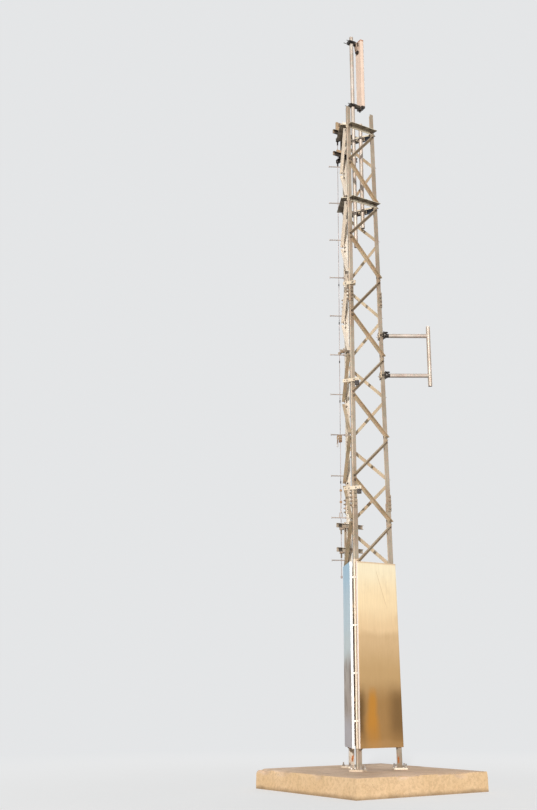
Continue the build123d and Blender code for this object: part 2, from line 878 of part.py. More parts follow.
save("safety_cable", [safety_cable()])
save("cable_top_bracket", cable_bracket(brace_level(0), top_bar_rises, top_post_rises))
bottom_bracket = cable_bracket(brace_level(bottom_bar_step), bottom_bar_rises, bottom_post_rises)
save("cable_bottom_bracket", bottom_bracket)
save("cable_guide", cable_guide())
save("cable_tensioner", [cable_tensioner()])
save("fall_arrest_grab", [fall_arrest_grab()])
hangers = []
for hanger in zip(hanger_levels(), hanger_lengths, hanger_blocks):
    hangers.extend(cable_hanger(*hanger))
save("cable_hangers", hangers)

for face_name, piece in zip(("front", "back", "left"), all_round(climb_shield())):
    save(f"{face_name}_climb_shield", [piece])

for name, solids in written.items():
    print(name, len(solids), round(sum(solid.volume for solid in solids) / 1000, 1), "cm3")
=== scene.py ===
import json
import math

import bpy
import numpy as np
from mathutils import Euler, Matrix, Vector, noise


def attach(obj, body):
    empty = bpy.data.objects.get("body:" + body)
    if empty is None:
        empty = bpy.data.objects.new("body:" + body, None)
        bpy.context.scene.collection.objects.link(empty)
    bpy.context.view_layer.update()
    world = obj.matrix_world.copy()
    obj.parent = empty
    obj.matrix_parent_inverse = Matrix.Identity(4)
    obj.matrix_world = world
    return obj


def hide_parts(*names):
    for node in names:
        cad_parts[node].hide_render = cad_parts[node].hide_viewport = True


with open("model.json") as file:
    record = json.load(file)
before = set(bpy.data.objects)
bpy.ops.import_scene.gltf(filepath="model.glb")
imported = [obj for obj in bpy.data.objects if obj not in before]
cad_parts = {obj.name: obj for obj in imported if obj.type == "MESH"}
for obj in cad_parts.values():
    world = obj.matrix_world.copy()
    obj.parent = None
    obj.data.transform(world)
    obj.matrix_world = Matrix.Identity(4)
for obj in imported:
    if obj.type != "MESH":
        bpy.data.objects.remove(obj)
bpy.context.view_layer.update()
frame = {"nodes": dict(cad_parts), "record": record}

# Looks of the lattice tower: fixings, cable, sheet and concrete built round the CAD nodes.
# Metres, in the CAD frame. Heights are from the pad's underside.

scene = bpy.context.scene
nodes = frame["nodes"]

# Sizes of the lattice, as in the CAD
FOOT = 0.285
TOWER = 9.663
FOOT_WIDTH = 0.791
TOP_WIDTH = 0.535
TOP_STEP = 9.643
PANEL = 0.6096
STEPS = 16
LOWER_JOINT = 3.852
UPPER_JOINT = 6.900
LEG_THICK = 0.005
LEG_BEND = 0.012
HALF_V = math.radians(30)
NOSE = LEG_BEND / math.sin(HALF_V) - LEG_BEND
FLANGES = (0.089, 0.078, 0.076)
LEG_GAUGE = 0.038
PAD_THICK = 0.26
PAD_HALF = 1.095
BRACE_THICK = 0.005
BRACE_REACH = 0.023
BRACE_GAP = 0.011
CORNER_GAP = 0.008
HALF_GAP = 0.0345
FRAME_STEPS = (0, 2)
FRAME_THICK = 0.006
FRAME_UPRIGHT = 0.048
FRAME_DROP = 0.025
SPLICE_THICK = 0.008
SHIELD_LOW = 0.545
SHIELD_TOP = 2.985
SHIELD_INSET = 0.023
SHIELD_SHEET = 0.002
SHIELD_DEPTH = 0.051
MAST_RADIUS = 0.03015
MAST_OFF = 0.059
MAST_PLATE = 0.008
CLAMP_THICK = 0.010
BAR_THICK = 0.005
BAR_HALF = 0.030
FIT_GAP = 0.0003
CABLE_OFF = 0.115

# Sizes that only the looks use
RETURN_FOOT = 0.022
CREASE_TOP = 2.88
CREASE_FOOT = 2.37
CREASE_START = -0.018
CREASE_SLOPE = 0.175 / (CREASE_TOP - CREASE_FOOT)
CREASE_DEPTH = 0.0022
CREASE_WIDTH = 0.010
CLIP_LEVELS = (2.773, 2.132, 1.505, 0.891)
BRACE_BOLT = 0.016
FRAME_BOLT = 0.014
SMALL_STUD = 0.012
ANCHOR_STUD = 0.020
ANCHOR_OFF = 0.068
FRAME_BOLTS = (0.042, 0.078)
SPLICE_BOLTS = (-0.0855, -0.0285, 0.0285, 0.0855)
BOLT_TAIL = 0.010
U_BAR = 0.006
WELD = 0.006


def face_width(level):
    return FOOT_WIDTH + (TOP_WIDTH - FOOT_WIDTH) * (level - FOOT) / TOWER


def corner_radius(level):
    return face_width(level) / math.sqrt(3)


def face_radius(level):
    return corner_radius(level) / 2


FACE_LEAN = math.atan2(face_radius(FOOT) - face_radius(FOOT + TOWER), TOWER)
LEG_LEAN = math.atan2(corner_radius(FOOT) - corner_radius(FOOT + TOWER), TOWER)


def step_level(step):
    return TOP_STEP - PANEL * step


def flange_at(level):
    return FLANGES[0] if level < LOWER_JOINT else FLANGES[1] if level < UPPER_JOINT else FLANGES[2]


def leg_angle(index):
    return math.radians(210 + 120 * index)


def inner_reach(flange):
    """Depth from a leg's corner to the inner edges of its flanges."""
    return flange * math.cos(HALF_V) + LEG_THICK * math.sin(HALF_V)


def face_place(index, across, level, out=0.0):
    """Place on a face, 0 front, 1 back, 2 left: X across it, Y up it and Z out of it."""
    lean_cos, lean_sin = math.cos(FACE_LEAN), math.sin(FACE_LEAN)
    basis = Matrix(((1, 0, 0, 0),
                    (0, lean_sin, -lean_cos, -face_radius(FOOT)),
                    (0, lean_cos, lean_sin, FOOT),
                    (0, 0, 0, 1)))
    local = Matrix.Translation((across, (level - FOOT) / lean_cos, out))
    return Matrix.Rotation(math.radians(120 * index), 4, "Z") @ basis @ local


def leg_place(index, level, out=0.0, side=0.0, rise=0.0):
    """Place at a leg's corner, 0 front, 1 right, 2 back: X points outward, Z up the leg."""
    turn = Matrix.Rotation(leg_angle(index), 4, "Z")
    corner = Matrix.Translation((corner_radius(level), 0, level))
    return turn @ corner @ Matrix.Rotation(-LEG_LEAN, 4, "Y") @ Matrix.Translation((out, side, rise))


ALONG_X = Matrix.Rotation(math.radians(90), 4, "Y")
TURNED_OVER = Matrix.Rotation(math.pi, 4, "X")

# Heights of single features
PEG_TOP = UPPER_JOINT + 4 * PANEL - 0.165
HANGERS = (UPPER_JOINT + 0.153, step_level(7) + 0.194, LOWER_JOINT + 0.153)
TOP_BARS = tuple(step_level(0) + rise for rise in (0.062, -0.308))
LOW_BARS = tuple(step_level(10) + rise for rise in (0.012, -0.332))
SLOT_FOOT = TOP_STEP + 0.160
ANTENNA_TOP = TOP_STEP + 1.705
ANTENNA_LOW = ANTENNA_TOP - 1.195
TILT_LUG = ANTENNA_TOP - 0.179
TENSIONER_LOW = step_level(10) + 0.235
GRAB = step_level(8) + 0.114
CABLE_LOW = step_level(11) - 0.067
CABLE_HIGH = FOOT + TOWER - 0.048


# Mesh making
def moved(form, place):
    m = np.array(place)
    return np.asarray(form[0], float) @ m[:3, :3].T + m[:3, 3], form[1]


def joined(*forms):
    points, faces, count = [], [], 0
    for form_points, form_faces in forms:
        points.extend([list(p) for p in form_points])
        faces.extend([[i + count for i in face] for face in form_faces])
        count += len(form_points)
    return points, faces


class Shape:
    """Mesh put together from many small closed forms."""

    def __init__(self):
        self.points = []
        self.faces = []
        self.count = 0

    def add(self, form, place=Matrix.Identity(4)):
        points, faces = moved(form, place)
        self.points.append(points)
        self.faces.extend([[i + self.count for i in face] for face in faces])
        self.count += len(points)
        return self

    def build(self, name, slot, material, smooth=35, replaced=()):
        mesh = bpy.data.meshes.new(name)
        mesh.from_pydata(np.concatenate(self.points).tolist(), [], self.faces)
        mesh.validate()
        mesh.update()
        obj = bpy.data.objects.new(name, mesh)
        scene.collection.objects.link(obj)
        mesh.materials.append(material)
        mesh.polygons.foreach_set("use_smooth", [True] * len(mesh.polygons))
        mesh.set_sharp_from_angle(angle=math.radians(smooth))
        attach(obj, "root")
        if replaced:
            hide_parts(*replaced)


def lathe(profile, sides=16, turn=0.0):
    """Closed round form from (radius, height) pairs listed from the bottom up."""
    angles = [turn + 2 * math.pi * i / sides for i in range(sides)]
    points = [(r * math.cos(a), r * math.sin(a), z) for r, z in profile for a in angles]
    faces = [list(range(sides))[::-1]]
    for ring in range(len(profile) - 1):
        low, high = ring * sides, (ring + 1) * sides
        for i in range(sides):
            j = (i + 1) % sides
            faces.append([low + i, low + j, high + j, high + i])
    faces.append([(len(profile) - 1) * sides + i for i in range(sides)])
    return points, faces


def hexagon(radius, low, high, turn=0.0):
    """Hexagonal nut or head with turned corners."""
    cut, end = 0.12 * radius, 0.87 * radius
    return lathe([(end, low), (radius, low + cut), (radius, high - cut), (end, high)], 6, turn)


def thread(radius, low, high, pitch):
    """Threaded bar end: a stack of small ridges."""
    count = max(2, int((high - low) / pitch))
    step = (high - low) / count
    profile = []
    for i in range(count):
        profile += [(radius * 0.9, low + step * i), (radius, low + step * (i + 0.5))]
    profile.append((radius * 0.8, high))
    return lathe(profile, 10)


# Washer, nut, head and thread as shares of the thread's radius
WASHER, WASHER_THICK = 2.1, 0.35
NUT, NUT_TOP, HEAD_TOP = 1.85, 2.0, 1.65
PITCH = 0.4


def washer(r, low, high):
    return lathe([(WASHER * r, low), (WASHER * r, high)], 14)


def bolt(size, grip, tail, turn=0.0, head_out=True):
    """Bolt through a plate with its outer face at Z = 0: head outside and nut inside, or turned over."""
    r = size / 2
    thick = WASHER_THICK * r
    nut_end = -grip - NUT_TOP * r
    head = hexagon(NUT * r, thick, HEAD_TOP * r, turn)
    nut = hexagon(NUT * r, nut_end, -grip - thick, turn + 0.4)
    end = thread(r, nut_end - tail, nut_end, PITCH * r)
    form = joined(washer(r, 0, thick), head, washer(r, -grip - thick, -grip), nut, end)
    if head_out:
        return form
    return moved(form, Matrix.Translation((0, 0, -grip)) @ TURNED_OVER)


def stud_nut(size, stand, turn=0.0):
    """Washer, nut and threaded end standing on a face at Z = 0."""
    r = size / 2
    thick, top = WASHER_THICK * r, NUT_TOP * r
    nut = hexagon(NUT * r, thick, top, turn)
    return joined(washer(r, 0, thick), nut, thread(r, top, top + stand, PITCH * r))


def pipe(points, radius, sides=10, closed=False):
    """Round bar along a line of points, with its rings carried from one to the next without twist."""
    line = [Vector(p) for p in points]
    count = len(line)
    tangents = []
    for i in range(count):
        after = line[(i + 1) % count] if closed or i < count - 1 else line[i]
        before = line[i - 1] if closed or i > 0 else line[i]
        tangents.append((after - before).normalized())
    across = tangents[0].orthogonal().normalized()
    verts, faces = [], []
    for i in range(count):
        if i:
            across = (tangents[i - 1].rotation_difference(tangents[i]) @ across).normalized()
        other = tangents[i].cross(across)
        for k in range(sides):
            a = 2 * math.pi * k / sides
            verts.append(line[i] + radius * (math.cos(a) * across + math.sin(a) * other))
    for i in range(count if closed else count - 1):
        j = (i + 1) % count
        for k in range(sides):
            m = (k + 1) % sides
            faces.append([i * sides + k, i * sides + m, j * sides + m, j * sides + k])
    if not closed:
        faces.append(list(range(sides))[::-1])
        faces.append([(count - 1) * sides + k for k in range(sides)])
    return [list(v) for v in verts], faces


def block(size, ease=0.002):
    """Box centred on the origin with eased edges."""
    x, y, z = (s / 2 for s in size)
    e = min(ease, 0.4 * min(x, y, z))
    points = []
    for level, inset in ((-z, e), (-z + e, 0), (z - e, 0), (z, e)):
        for sx, sy in ((1, 1), (-1, 1), (-1, -1), (1, -1)):
            corner = [(sx * (x - inset), sy * (y - inset - e), level),
                      (sx * (x - inset - e), sy * (y - inset), level)]
            points += corner if sx * sy > 0 else corner[::-1]
    faces = [list(range(8))[::-1]]
    for r in range(3):
        for i in range(8):
            j = (i + 1) % 8
            faces.append([r * 8 + i, r * 8 + j, (r + 1) * 8 + j, (r + 1) * 8 + i])
    faces.append([24 + i for i in range(8)])
    return points, faces


# Materials, whose colours are written as 0 to 255 display values
X, Y, Z = 0, 1, 2
SPANGLE_CELLS, STONE_CELLS, HOLE_CELLS = 42, 46, 95
SHEET_METAL = 0.18


def linear(red, green, blue):
    """Display colour as the shader takes it."""
    shares = (value / 255 for value in (red, green, blue))
    return (*(((c + 0.055) / 1.055) ** 2.4 if c > 0.04 else c / 12.92 for c in shares), 1)


class Nodes:
    """Node tree in the making."""

    def __init__(self, tree):
        self.tree = tree

    def node(self, kind, **settings):
        made = self.tree.nodes.new(kind)
        for key, value in settings.items():
            setattr(made, key, value)
        return made

    def put(self, socket, value):
        if isinstance(value, bpy.types.NodeSocket):
            self.tree.links.new(value, socket)
        else:
            socket.default_value = value

    def put_in(self, kind, value):
        made = self.node(kind)
        self.put(made.inputs[0], value)
        return made

    def math(self, operation, a, b=0.0):
        made = self.node("ShaderNodeMath", operation=operation)
        self.put(made.inputs[0], a)
        self.put(made.inputs[1], b)
        return made.outputs[0]

    def blend(self, amount, first, second, end):
        """Two shaders mixed into the tree's last node."""
        made = self.node("ShaderNodeMixShader")
        for socket, value in zip(made.inputs, (amount, first.outputs[0], second.outputs[0])):
            self.put(socket, value)
        self.put(self.tree.nodes[end].inputs["Surface"], made.outputs[0])


class Look(Nodes):
    """Node material in the making."""

    def __init__(self, name):
        self.material = bpy.data.materials.new(name)
        self.material.use_nodes = True
        super().__init__(self.material.node_tree)
        self.shader = self.tree.nodes["Principled BSDF"]
        self.place = self.node("ShaderNodeTexCoord").outputs["Object"]
        self.normal = self.node("ShaderNodeNewGeometry").outputs["Normal"]

    def times(self, a, b):
        return self.math("MULTIPLY", a, b)

    def plus(self, a, b):
        return self.math("ADD", a, b)

    def minus(self, a, b):
        return self.math("SUBTRACT", a, b)

    def vector(self, operation, a, b=None, output="Value"):
        made = self.node("ShaderNodeVectorMath", operation=operation)
        self.put(made.inputs[0], a)
        if b is not None:
            made.inputs[1].default_value = b
        return made.outputs[output]

    def stretched(self, scale, shift=(0, 0, 0)):
        made = self.node("ShaderNodeMapping")
        made.inputs["Scale"].default_value = scale
        made.inputs["Location"].default_value = shift
        self.put(made.inputs["Vector"], self.place)
        return made.outputs["Vector"]

    def noise(self, scale, detail=4.0, rough=0.55, where=None):
        made = self.node("ShaderNodeTexNoise")
        self.put(made.inputs["Vector"], where or self.place)
        for key, value in (("Scale", scale), ("Detail", detail), ("Roughness", rough)):
            made.inputs[key].default_value = value
        return made.outputs["Fac"]

    def sway(self, reach, *settings):
        """Noise centred on zero, half of reach to each side."""
        return self.times(self.minus(self.noise(*settings), 0.5), reach)

    def cells(self, scale, output="Color"):
        made = self.node("ShaderNodeTexVoronoi", feature="F1")
        self.put(made.inputs["Vector"], self.place)
        made.inputs["Scale"].default_value = scale
        return made.outputs[output]

    def spread(self, value, low, high, to_low=0.0, to_high=1.0):
        """Smooth step from one value at low to another at high."""
        made = self.node("ShaderNodeMapRange", interpolation_type="SMOOTHSTEP")
        sockets = "Value", "From Min", "From Max", "To Min", "To Max"
        for key, item in zip(sockets, (value, low, high, to_low, to_high)):
            self.put(made.inputs[key], item)
        return made.outputs["Result"]

    def between(self, value, low, high, soft):
        """One between low and high, with soft ends, and zero elsewhere."""
        above = self.spread(value, low - soft, low + soft)
        return self.times(above, self.spread(value, high + soft, high - soft))

    def mix(self, amount, a, b, kind="MIX"):
        made = self.node("ShaderNodeMix", data_type="RGBA", blend_type=kind, clamp_factor=True)
        self.put(made.inputs["Factor"], amount)
        self.put(made.inputs["A"], a)
        self.put(made.inputs["B"], b)
        return made.outputs["Result"]

    def part_of(self, vector, axis):
        return self.put_in("ShaderNodeSeparateXYZ", vector).outputs[axis]

    def at(self, axis):
        return self.part_of(self.place, axis)

    def facing(self, axis):
        return self.part_of(self.normal, axis)

    def grey(self, value):
        return self.put_in("ShaderNodeCombineColor", value).outputs[0]

    def bump(self, height, strength, distance, under=None):
        made = self.node("ShaderNodeBump")
        self.put(made.inputs["Height"], height)
        made.inputs["Strength"].default_value = strength
        made.inputs["Distance"].default_value = distance
        if under is not None:
            self.put(made.inputs["Normal"], under)
        return made.outputs["Normal"]

    def finish(self, colour, rough, metal, normal=None):
        self.put(self.shader.inputs["Base Color"], colour)
        self.put(self.shader.inputs["Roughness"], rough)
        self.put(self.shader.inputs["Metallic"], metal)
        if normal is not None:
            self.put(self.shader.inputs["Normal"], normal)
        return self.material


def banded(k, colour, bands):
    """Paint over the colour between pairs of heights."""
    height = k.plus(k.at(Z), k.sway(0.004, 60, 3))
    for low, high, tone in bands:
        worn = k.spread(k.noise(90, 5, 0.7), 0.56, 0.68, 1.0, 0.6)
        colour = k.mix(k.times(k.between(height, low, high, 0.002), worn), colour, linear(*tone))
    return colour


def rusted(k, colour, dull, metal, span):
    """Rusty flecks, and a patch low on the leg between two X values: colour, roughness and metal."""
    wobble = k.sway(0.030, 38, 5, 0.7)
    height = k.plus(k.at(Z), k.times(wobble, 2.0))
    near = k.times(k.spread(height, 0.430, 0.412), k.spread(height, 0.335, 0.352))
    strip = k.between(k.plus(k.at(X), wobble), *span, 0.002)
    flecks = k.spread(k.noise(34, 7, 0.7, k.stretched((1, 1, 0.45), (3, 1, 7))), 0.72, 0.80, 0, 0.45)
    mask = k.math("MAXIMUM", k.times(strip, near), flecks)
    rusty = k.mix(k.spread(k.noise(110, 4), 0.35, 0.65), linear(206, 124, 60), linear(150, 84, 44))
    dull = k.part_of(k.mix(mask, k.grey(dull), (0.85, 0.85, 0.85, 1)), X)
    return k.mix(mask, colour, rusty), dull, k.times(k.minus(1.0, mask), metal)


def zinc(name, pale, deep, under, metal=0.42, rough=0.52, spangle=0.16, streak=0.30, rust=None,
         bands=(), stain_and_shade=None):
    """Weathered zinc coat: spangle, clouding, run-down streaks and painted shade on undersides.

    rust is a pair of X values with a rusty patch between them, and the last argument a function of the look
    that gives a mask and a tone, used for painted shade and for sand and dark paint.
    """
    k = Look(name)
    under = linear(*under)
    colour = k.mix(k.spread(k.noise(2.3, 5, 0.6), 0.36, 0.64), linear(*pale), linear(*deep))
    colour = k.mix(spangle, colour, k.grey(k.part_of(k.cells(SPANGLE_CELLS), X)), "SOFT_LIGHT")
    runs = k.noise(1.0, 6, 0.62, k.stretched((55, 55, 1.6)))
    colour = k.mix(k.spread(runs, 0.50, 0.74, 0, streak), colour, under)
    colour = banded(k, colour, bands)
    # Painted shade: faces turned downwards take the dark tone, in patches
    underside_shade = k.spread(k.facing(Z), -0.84, -0.96)
    patchy = k.spread(k.noise(9, 4), 0.25, 0.7, 0.62, 1.0)
    colour = k.mix(k.times(underside_shade, patchy), colour, under)
    dull = k.spread(k.noise(120, 3, 0.6), 0.3, 0.7, rough - 0.07, rough + 0.12)
    if stain_and_shade:
        mask, tone = stain_and_shade(k)
        colour = k.mix(mask, colour, tone)
    if rust:
        colour, dull, metal = rusted(k, colour, dull, metal, rust)
    fine = k.bump(k.noise(260, 3, 0.6), 0.25, 0.0006)
    return k.finish(colour, dull, metal, k.bump(k.noise(14, 4), 0.35, 0.002, fine))


def enamel(name, base, worn, rough=0.5, wear=0.35, metal=0.0, bands=()):
    """Paint or moulded skin: mottled colour, chipped or chalked patches, painted shade on downward faces and
    a fine orange-peel surface.
    """
    k = Look(name)
    base, worn = linear(*base), linear(*worn)
    colour = k.mix(k.spread(k.noise(7, 5, 0.6), 0.35, 0.65, 0, 0.5), base, worn)
    colour = k.mix(k.spread(k.noise(85, 6, 0.7), 0.60, 0.68, 0, wear), colour, worn)
    colour = banded(k, colour, bands)
    # Painted shade: downward faces darken towards a darker copy of the base colour
    shaded = k.spread(k.facing(Z), -0.2, -0.8, 0, 0.45)
    colour = k.mix(shaded, colour, (*(0.35 * c for c in base[:3]), 1))
    dull = k.spread(k.noise(160, 3), 0.3, 0.7, rough - 0.08, rough + 0.12)
    broad = k.bump(k.noise(22, 3), 0.3, 0.0012)
    return k.finish(colour, dull, metal, k.bump(k.noise(420, 3), 0.25, 0.0005, broad))


STREAK = -0.17


def streaked(k, colour, level):
    """Tones over the front shield: darker sides, a yellow streak between, a browner foot, a darker rim, and
    painted shade along the crease.
    """
    bent = k.plus(k.at(X), k.sway(0.12, 2.2, 4))
    sides = k.math("MAXIMUM", k.spread(bent, STREAK - 0.06, STREAK - 0.17),
                   k.spread(bent, STREAK + 0.20, STREAK + 0.46, 0, 0.72))
    sides = k.times(k.times(sides, k.spread(level, 1.46, 1.10)), k.spread(level, 0.62, 0.82, 0.40, 1.0))
    colour = k.mix(sides, colour, linear(110, 80, 40))
    off_middle = k.math("ABSOLUTE", k.minus(bent, STREAK + 0.02))
    band = k.spread(k.times(off_middle, k.spread(level, 0.70, 1.30, 0.75, 1.35)), 0.125, 0.02)
    rise = k.times(k.spread(level, 1.40, 1.18, 0, 0.9), k.spread(level, 0.56, 0.86, 0.55, 1.0))
    colour = k.mix(k.times(band, rise), colour, linear(196, 134, 44))
    colour = k.mix(k.spread(level, 0.66, 0.56, 0, 0.45), colour, linear(190, 148, 96))
    height = k.at(Z)
    colour = k.mix(k.spread(height, 2.955, 2.978, 0, 0.5), colour, linear(196, 150, 110))
    # Painted shade along the crease
    crease = k.plus(k.times(k.minus(CREASE_TOP, height), CREASE_SLOPE), CREASE_START)
    off = k.math("ABSOLUTE", k.minus(k.at(X), crease))
    ends = k.times(k.spread(height, CREASE_TOP + 0.02, CREASE_TOP - 0.05),
                   k.spread(height, CREASE_FOOT - 0.02, CREASE_FOOT + 0.08))
    return k.mix(k.times(k.spread(off, 0.008, 0.001, 0, 0.45), ends), colour, linear(190, 150, 106))


def reflected_patches(k, colour, level):
    """Darker patches across the middle of the left shield, painted as part of its reflection."""
    patch = k.noise(3.2, 5, 0.6, k.stretched((1, 1, 0.8), (2, 5, 1)))
    zone = k.times(k.spread(level, 1.75, 1.50), k.spread(level, 0.85, 1.05))
    return k.mix(k.times(k.spread(patch, 0.40, 0.62), zone), colour, linear(168, 154, 142))


def sheet_look(name, stops, edge, edge_way, painted_light=None):
    """Mill-finished sheet: tones down its height that paint its reflection, brushed lines, more painted light
    where given, and turned-in edges in a painted highlight tone.
    """
    k = Look(name)
    stops = [(height, linear(*tone)) for height, tone in stops]
    low_tone = stops[-1][1]
    level = k.plus(k.at(Z), k.sway(0.30, 1.6, 4))
    colour = stops[0][1]
    for (above, _), (below, tone) in zip(stops, stops[1:]):
        colour = k.mix(k.spread(level, above, below), colour, tone)
    brushed = k.noise(1.0, 5, 0.6, k.stretched((230, 230, 2.2)))
    colour = k.mix(k.spread(brushed, 0.35, 0.65, 0.0, 0.12), colour, low_tone)
    if painted_light:
        colour = painted_light(k, colour, level)
    blots = k.spread(k.noise(5.5, 5, 0.6, k.stretched((1, 1, 0.5))), 0.52, 0.75, 0, 0.14)
    colour = k.mix(blots, colour, low_tone)
    # Painted highlight: the turned-in edges take the edges' tone
    turned = k.math("ABSOLUTE", k.vector("DOT_PRODUCT", k.normal, edge_way))
    colour = k.mix(k.spread(turned, 0.6, 0.9), colour, linear(*edge))
    dull = k.spread(k.noise(1.0, 4, 0.6, k.stretched((160, 160, 3))), 0.3, 0.7, 0.62, 0.76)
    return k.finish(colour, dull, SHEET_METAL, k.bump(brushed, 0.12, 0.0004))


def concrete(name):
    """Cast slab: sandy paste, stones showing through, damp dark foot and air holes."""
    k = Look(name)
    colour = k.mix(k.spread(k.noise(2.1, 6, 0.62), 0.35, 0.66), linear(246, 214, 184), linear(218, 184, 150))
    stones = k.mix(0.82, k.cells(STONE_CELLS), linear(150, 132, 112))
    shape = k.spread(k.cells(STONE_CELLS, "Distance"), 0.30, 0.42, 1, 0)
    colour = k.mix(k.times(shape, k.spread(k.noise(7, 4), 0.50, 0.62, 0, 0.45)), colour, stones)
    colour = k.mix(k.spread(k.noise(70, 5, 0.7), 0.55, 0.75, 0, 0.5), colour, linear(120, 98, 76))
    upright = k.spread(k.facing(Z), 0.6, 0.1)
    colour = k.mix(k.times(upright, 0.70), colour, linear(236, 200, 150))
    mottle = k.times(upright, k.spread(k.noise(26, 6, 0.7), 0.40, 0.66, 0, 0.34))
    colour = k.mix(mottle, colour, linear(172, 134, 92))
    damp = k.spread(k.plus(k.at(Z), k.times(k.noise(6, 4), 0.05)), 0.09, 0.02, 0, 0.6)
    colour = k.mix(damp, colour, linear(92, 70, 50))
    holes = k.spread(k.cells(HOLE_CELLS, "Distance"), 0.10, 0.16, 1, 0)
    pits = k.times(holes, k.spread(k.noise(12, 2), 0.5, 0.6))
    colour = k.mix(k.times(pits, 0.7), colour, linear(88, 70, 54))
    height = k.minus(k.times(k.noise(60, 6, 0.7), 0.8), pits)
    return k.finish(colour, k.spread(k.noise(40, 4), 0.3, 0.7, 0.80, 0.95), 0.0, k.bump(height, 0.7, 0.005))


# Painted shade and other marks over the zinc, each a mask and a colour
def ascending_shade(k):
    """Painted shadow on the face side of the front braces that rise to the right, in every other panel, cast
    by their outstanding flange.
    """
    count = k.math("DIVIDE", k.minus(TOP_STEP, k.at(Z)), 2 * PANEL)
    panel = k.spread(k.math("FRACT", count), 0.502, 0.498)
    return k.times(panel, k.spread(k.facing(Y), -0.6, -0.9, 0, 0.44)), linear(108, 82, 60)


def bracket_shade(levels, top):
    """Painted shade below a height, and inside channels open to the tower at the given heights."""
    def mask(k):
        height = k.at(Z)
        inward = k.spread(k.facing(Y), -0.3, -0.6)
        left = k.times(k.spread(k.at(X), -0.205, -0.195), k.spread(k.at(X), -0.125, -0.145))
        dark = k.times(k.spread(height, top + 0.003, top - 0.003),
                       k.spread(k.math("ABSOLUTE", k.at(X)), 0.212, 0.206))
        for level in levels:
            inside = k.between(height, level - 0.0245, level + 0.0245, 0.001)
            inside = k.times(inside, k.math("MAXIMUM", left, 0.22))
            dark = k.math("MAXIMUM", dark, k.times(inside, inward))
        # Noise breaks the painted shade into patches
        worn = k.spread(k.noise(70, 5, 0.7), 0.56, 0.66, 0.92, 0.6)
        return k.times(dark, worn), linear(58, 50, 44)
    return mask


def sandy_front(k):
    """Sand on the front leg's foot plate."""
    return k.spread(k.at(X), -0.22, -0.26, 0, 0.62), linear(206, 178, 144)


def slot_shade(k):
    """Painted shade in the slot of the block at the cable's head."""
    slot = k.between(k.at(X), -0.13825, -0.11975, 0.00175)
    high = k.spread(k.at(Z), SLOT_FOOT - 0.006, SLOT_FOOT + 0.002)
    return k.times(k.times(slot, high), 0.9), linear(52, 46, 42)


def arm_paint(k):
    """Dark paint on the inner ends of the side arms."""
    off_axis = k.vector("LENGTH", k.vector("MULTIPLY", k.place, (1, 1, 0), "Vector"))
    worn = k.spread(k.noise(70, 5, 0.7), 0.56, 0.66, 1.0, 0.55)
    return k.times(k.spread(off_axis, 0.441, 0.435), worn), linear(46, 40, 36)


# Zinc in its pale and deep tones and the dark tone of its run-down streaks, which also paints shade on its
# undersides
LEG_TONES = (196, 186, 166), (170, 158, 136), (88, 76, 62)
# The back leg's pale tones are a painted highlight
BACK_LEG_HIGHLIGHT_TONES = (244, 238, 226), (220, 212, 196), (100, 86, 70)
BRACE_TONES = (206, 192, 164), (184, 168, 138), (84, 70, 54)
BRIGHT_TONES = (240, 228, 206), (214, 200, 174), (96, 82, 64)
LEG_ZINC = zinc("leg_zinc", *LEG_TONES)
# The front leg's foot takes a painted highlight, a pale band between the shields' foot and top
FRONT_FOOT_HIGHLIGHT_ZINC = zinc("front_foot_highlight_zinc", *LEG_TONES,
                       bands=[(SHIELD_LOW, SHIELD_TOP + 0.035, (240, 220, 196))])
RIGHT_FOOT_ZINC = zinc("right_foot_zinc", *LEG_TONES, rust=(0.303, 0.330))
BACK_LEG_HIGHLIGHT_ZINC = zinc("back_leg_highlight_zinc", *BACK_LEG_HIGHLIGHT_TONES)
BACK_FOOT_HIGHLIGHT_ZINC = zinc("back_foot_highlight_zinc", *BACK_LEG_HIGHLIGHT_TONES, rust=(0.021, 0.034))
BRACE_ZINC = zinc("brace_zinc", *BRACE_TONES)
FRONT_BRACE_ZINC = zinc("front_brace_zinc", *BRACE_TONES, stain_and_shade=ascending_shade)
# The mast frames take a paler, lit copy of the brace zinc: painted light
FRAME_LIT_ZINC = zinc("frame_lit_zinc", (238, 230, 208), (220, 208, 182), (84, 70, 54))
# The left face's bracing takes a painted highlight band over its upper part
LEFT_BRACE_HIGHLIGHT_ZINC = zinc("left_brace_highlight_zinc", (206, 192, 164), (180, 166, 136), (84, 70, 54),
                       bands=[(step_level(6), TOWER + 1, (246, 232, 214))])
PLATE_ZINC = zinc("plate_zinc", (200, 188, 164), (166, 152, 128), (70, 58, 46))
FOOT_ZINC = zinc("foot_zinc", (255, 248, 236), (236, 224, 204), (130, 108, 84), metal=0.15, stain_and_shade=sandy_front)
CLIP_ZINC = zinc("clip_zinc", (255, 250, 242), (240, 232, 220), (130, 112, 92), metal=0.15)
BRIGHT_ZINC = zinc("bright_zinc", *BRIGHT_TONES)
HANGER_ZINC = zinc("hanger_zinc", *BRIGHT_TONES,
                   bands=[(level - 0.092, level - 0.0255, (78, 72, 70)) for level in HANGERS[1:]])
SPLICE_ZINC = zinc("splice_zinc", (186, 174, 152), (146, 134, 114), (80, 68, 56), metal=0.35)
BOLT_ZINC = zinc("bolt_zinc", (158, 148, 132), (112, 102, 90), (60, 52, 44), metal=0.5, rough=0.4)
TUBE_ZINC = zinc("tube_zinc", (210, 202, 190), (186, 176, 160), (104, 90, 74), rough=0.45)
ARM_ZINC = zinc("arm_zinc", (208, 200, 188), (182, 172, 158), (104, 90, 74), rough=0.45, stain_and_shade=arm_paint)
TILT_ZINC = zinc("tilt_zinc", (186, 168, 148), (150, 132, 112), (90, 74, 60),
                 bands=[(TILT_LUG - 0.2, TILT_LUG, (38, 32, 30))])
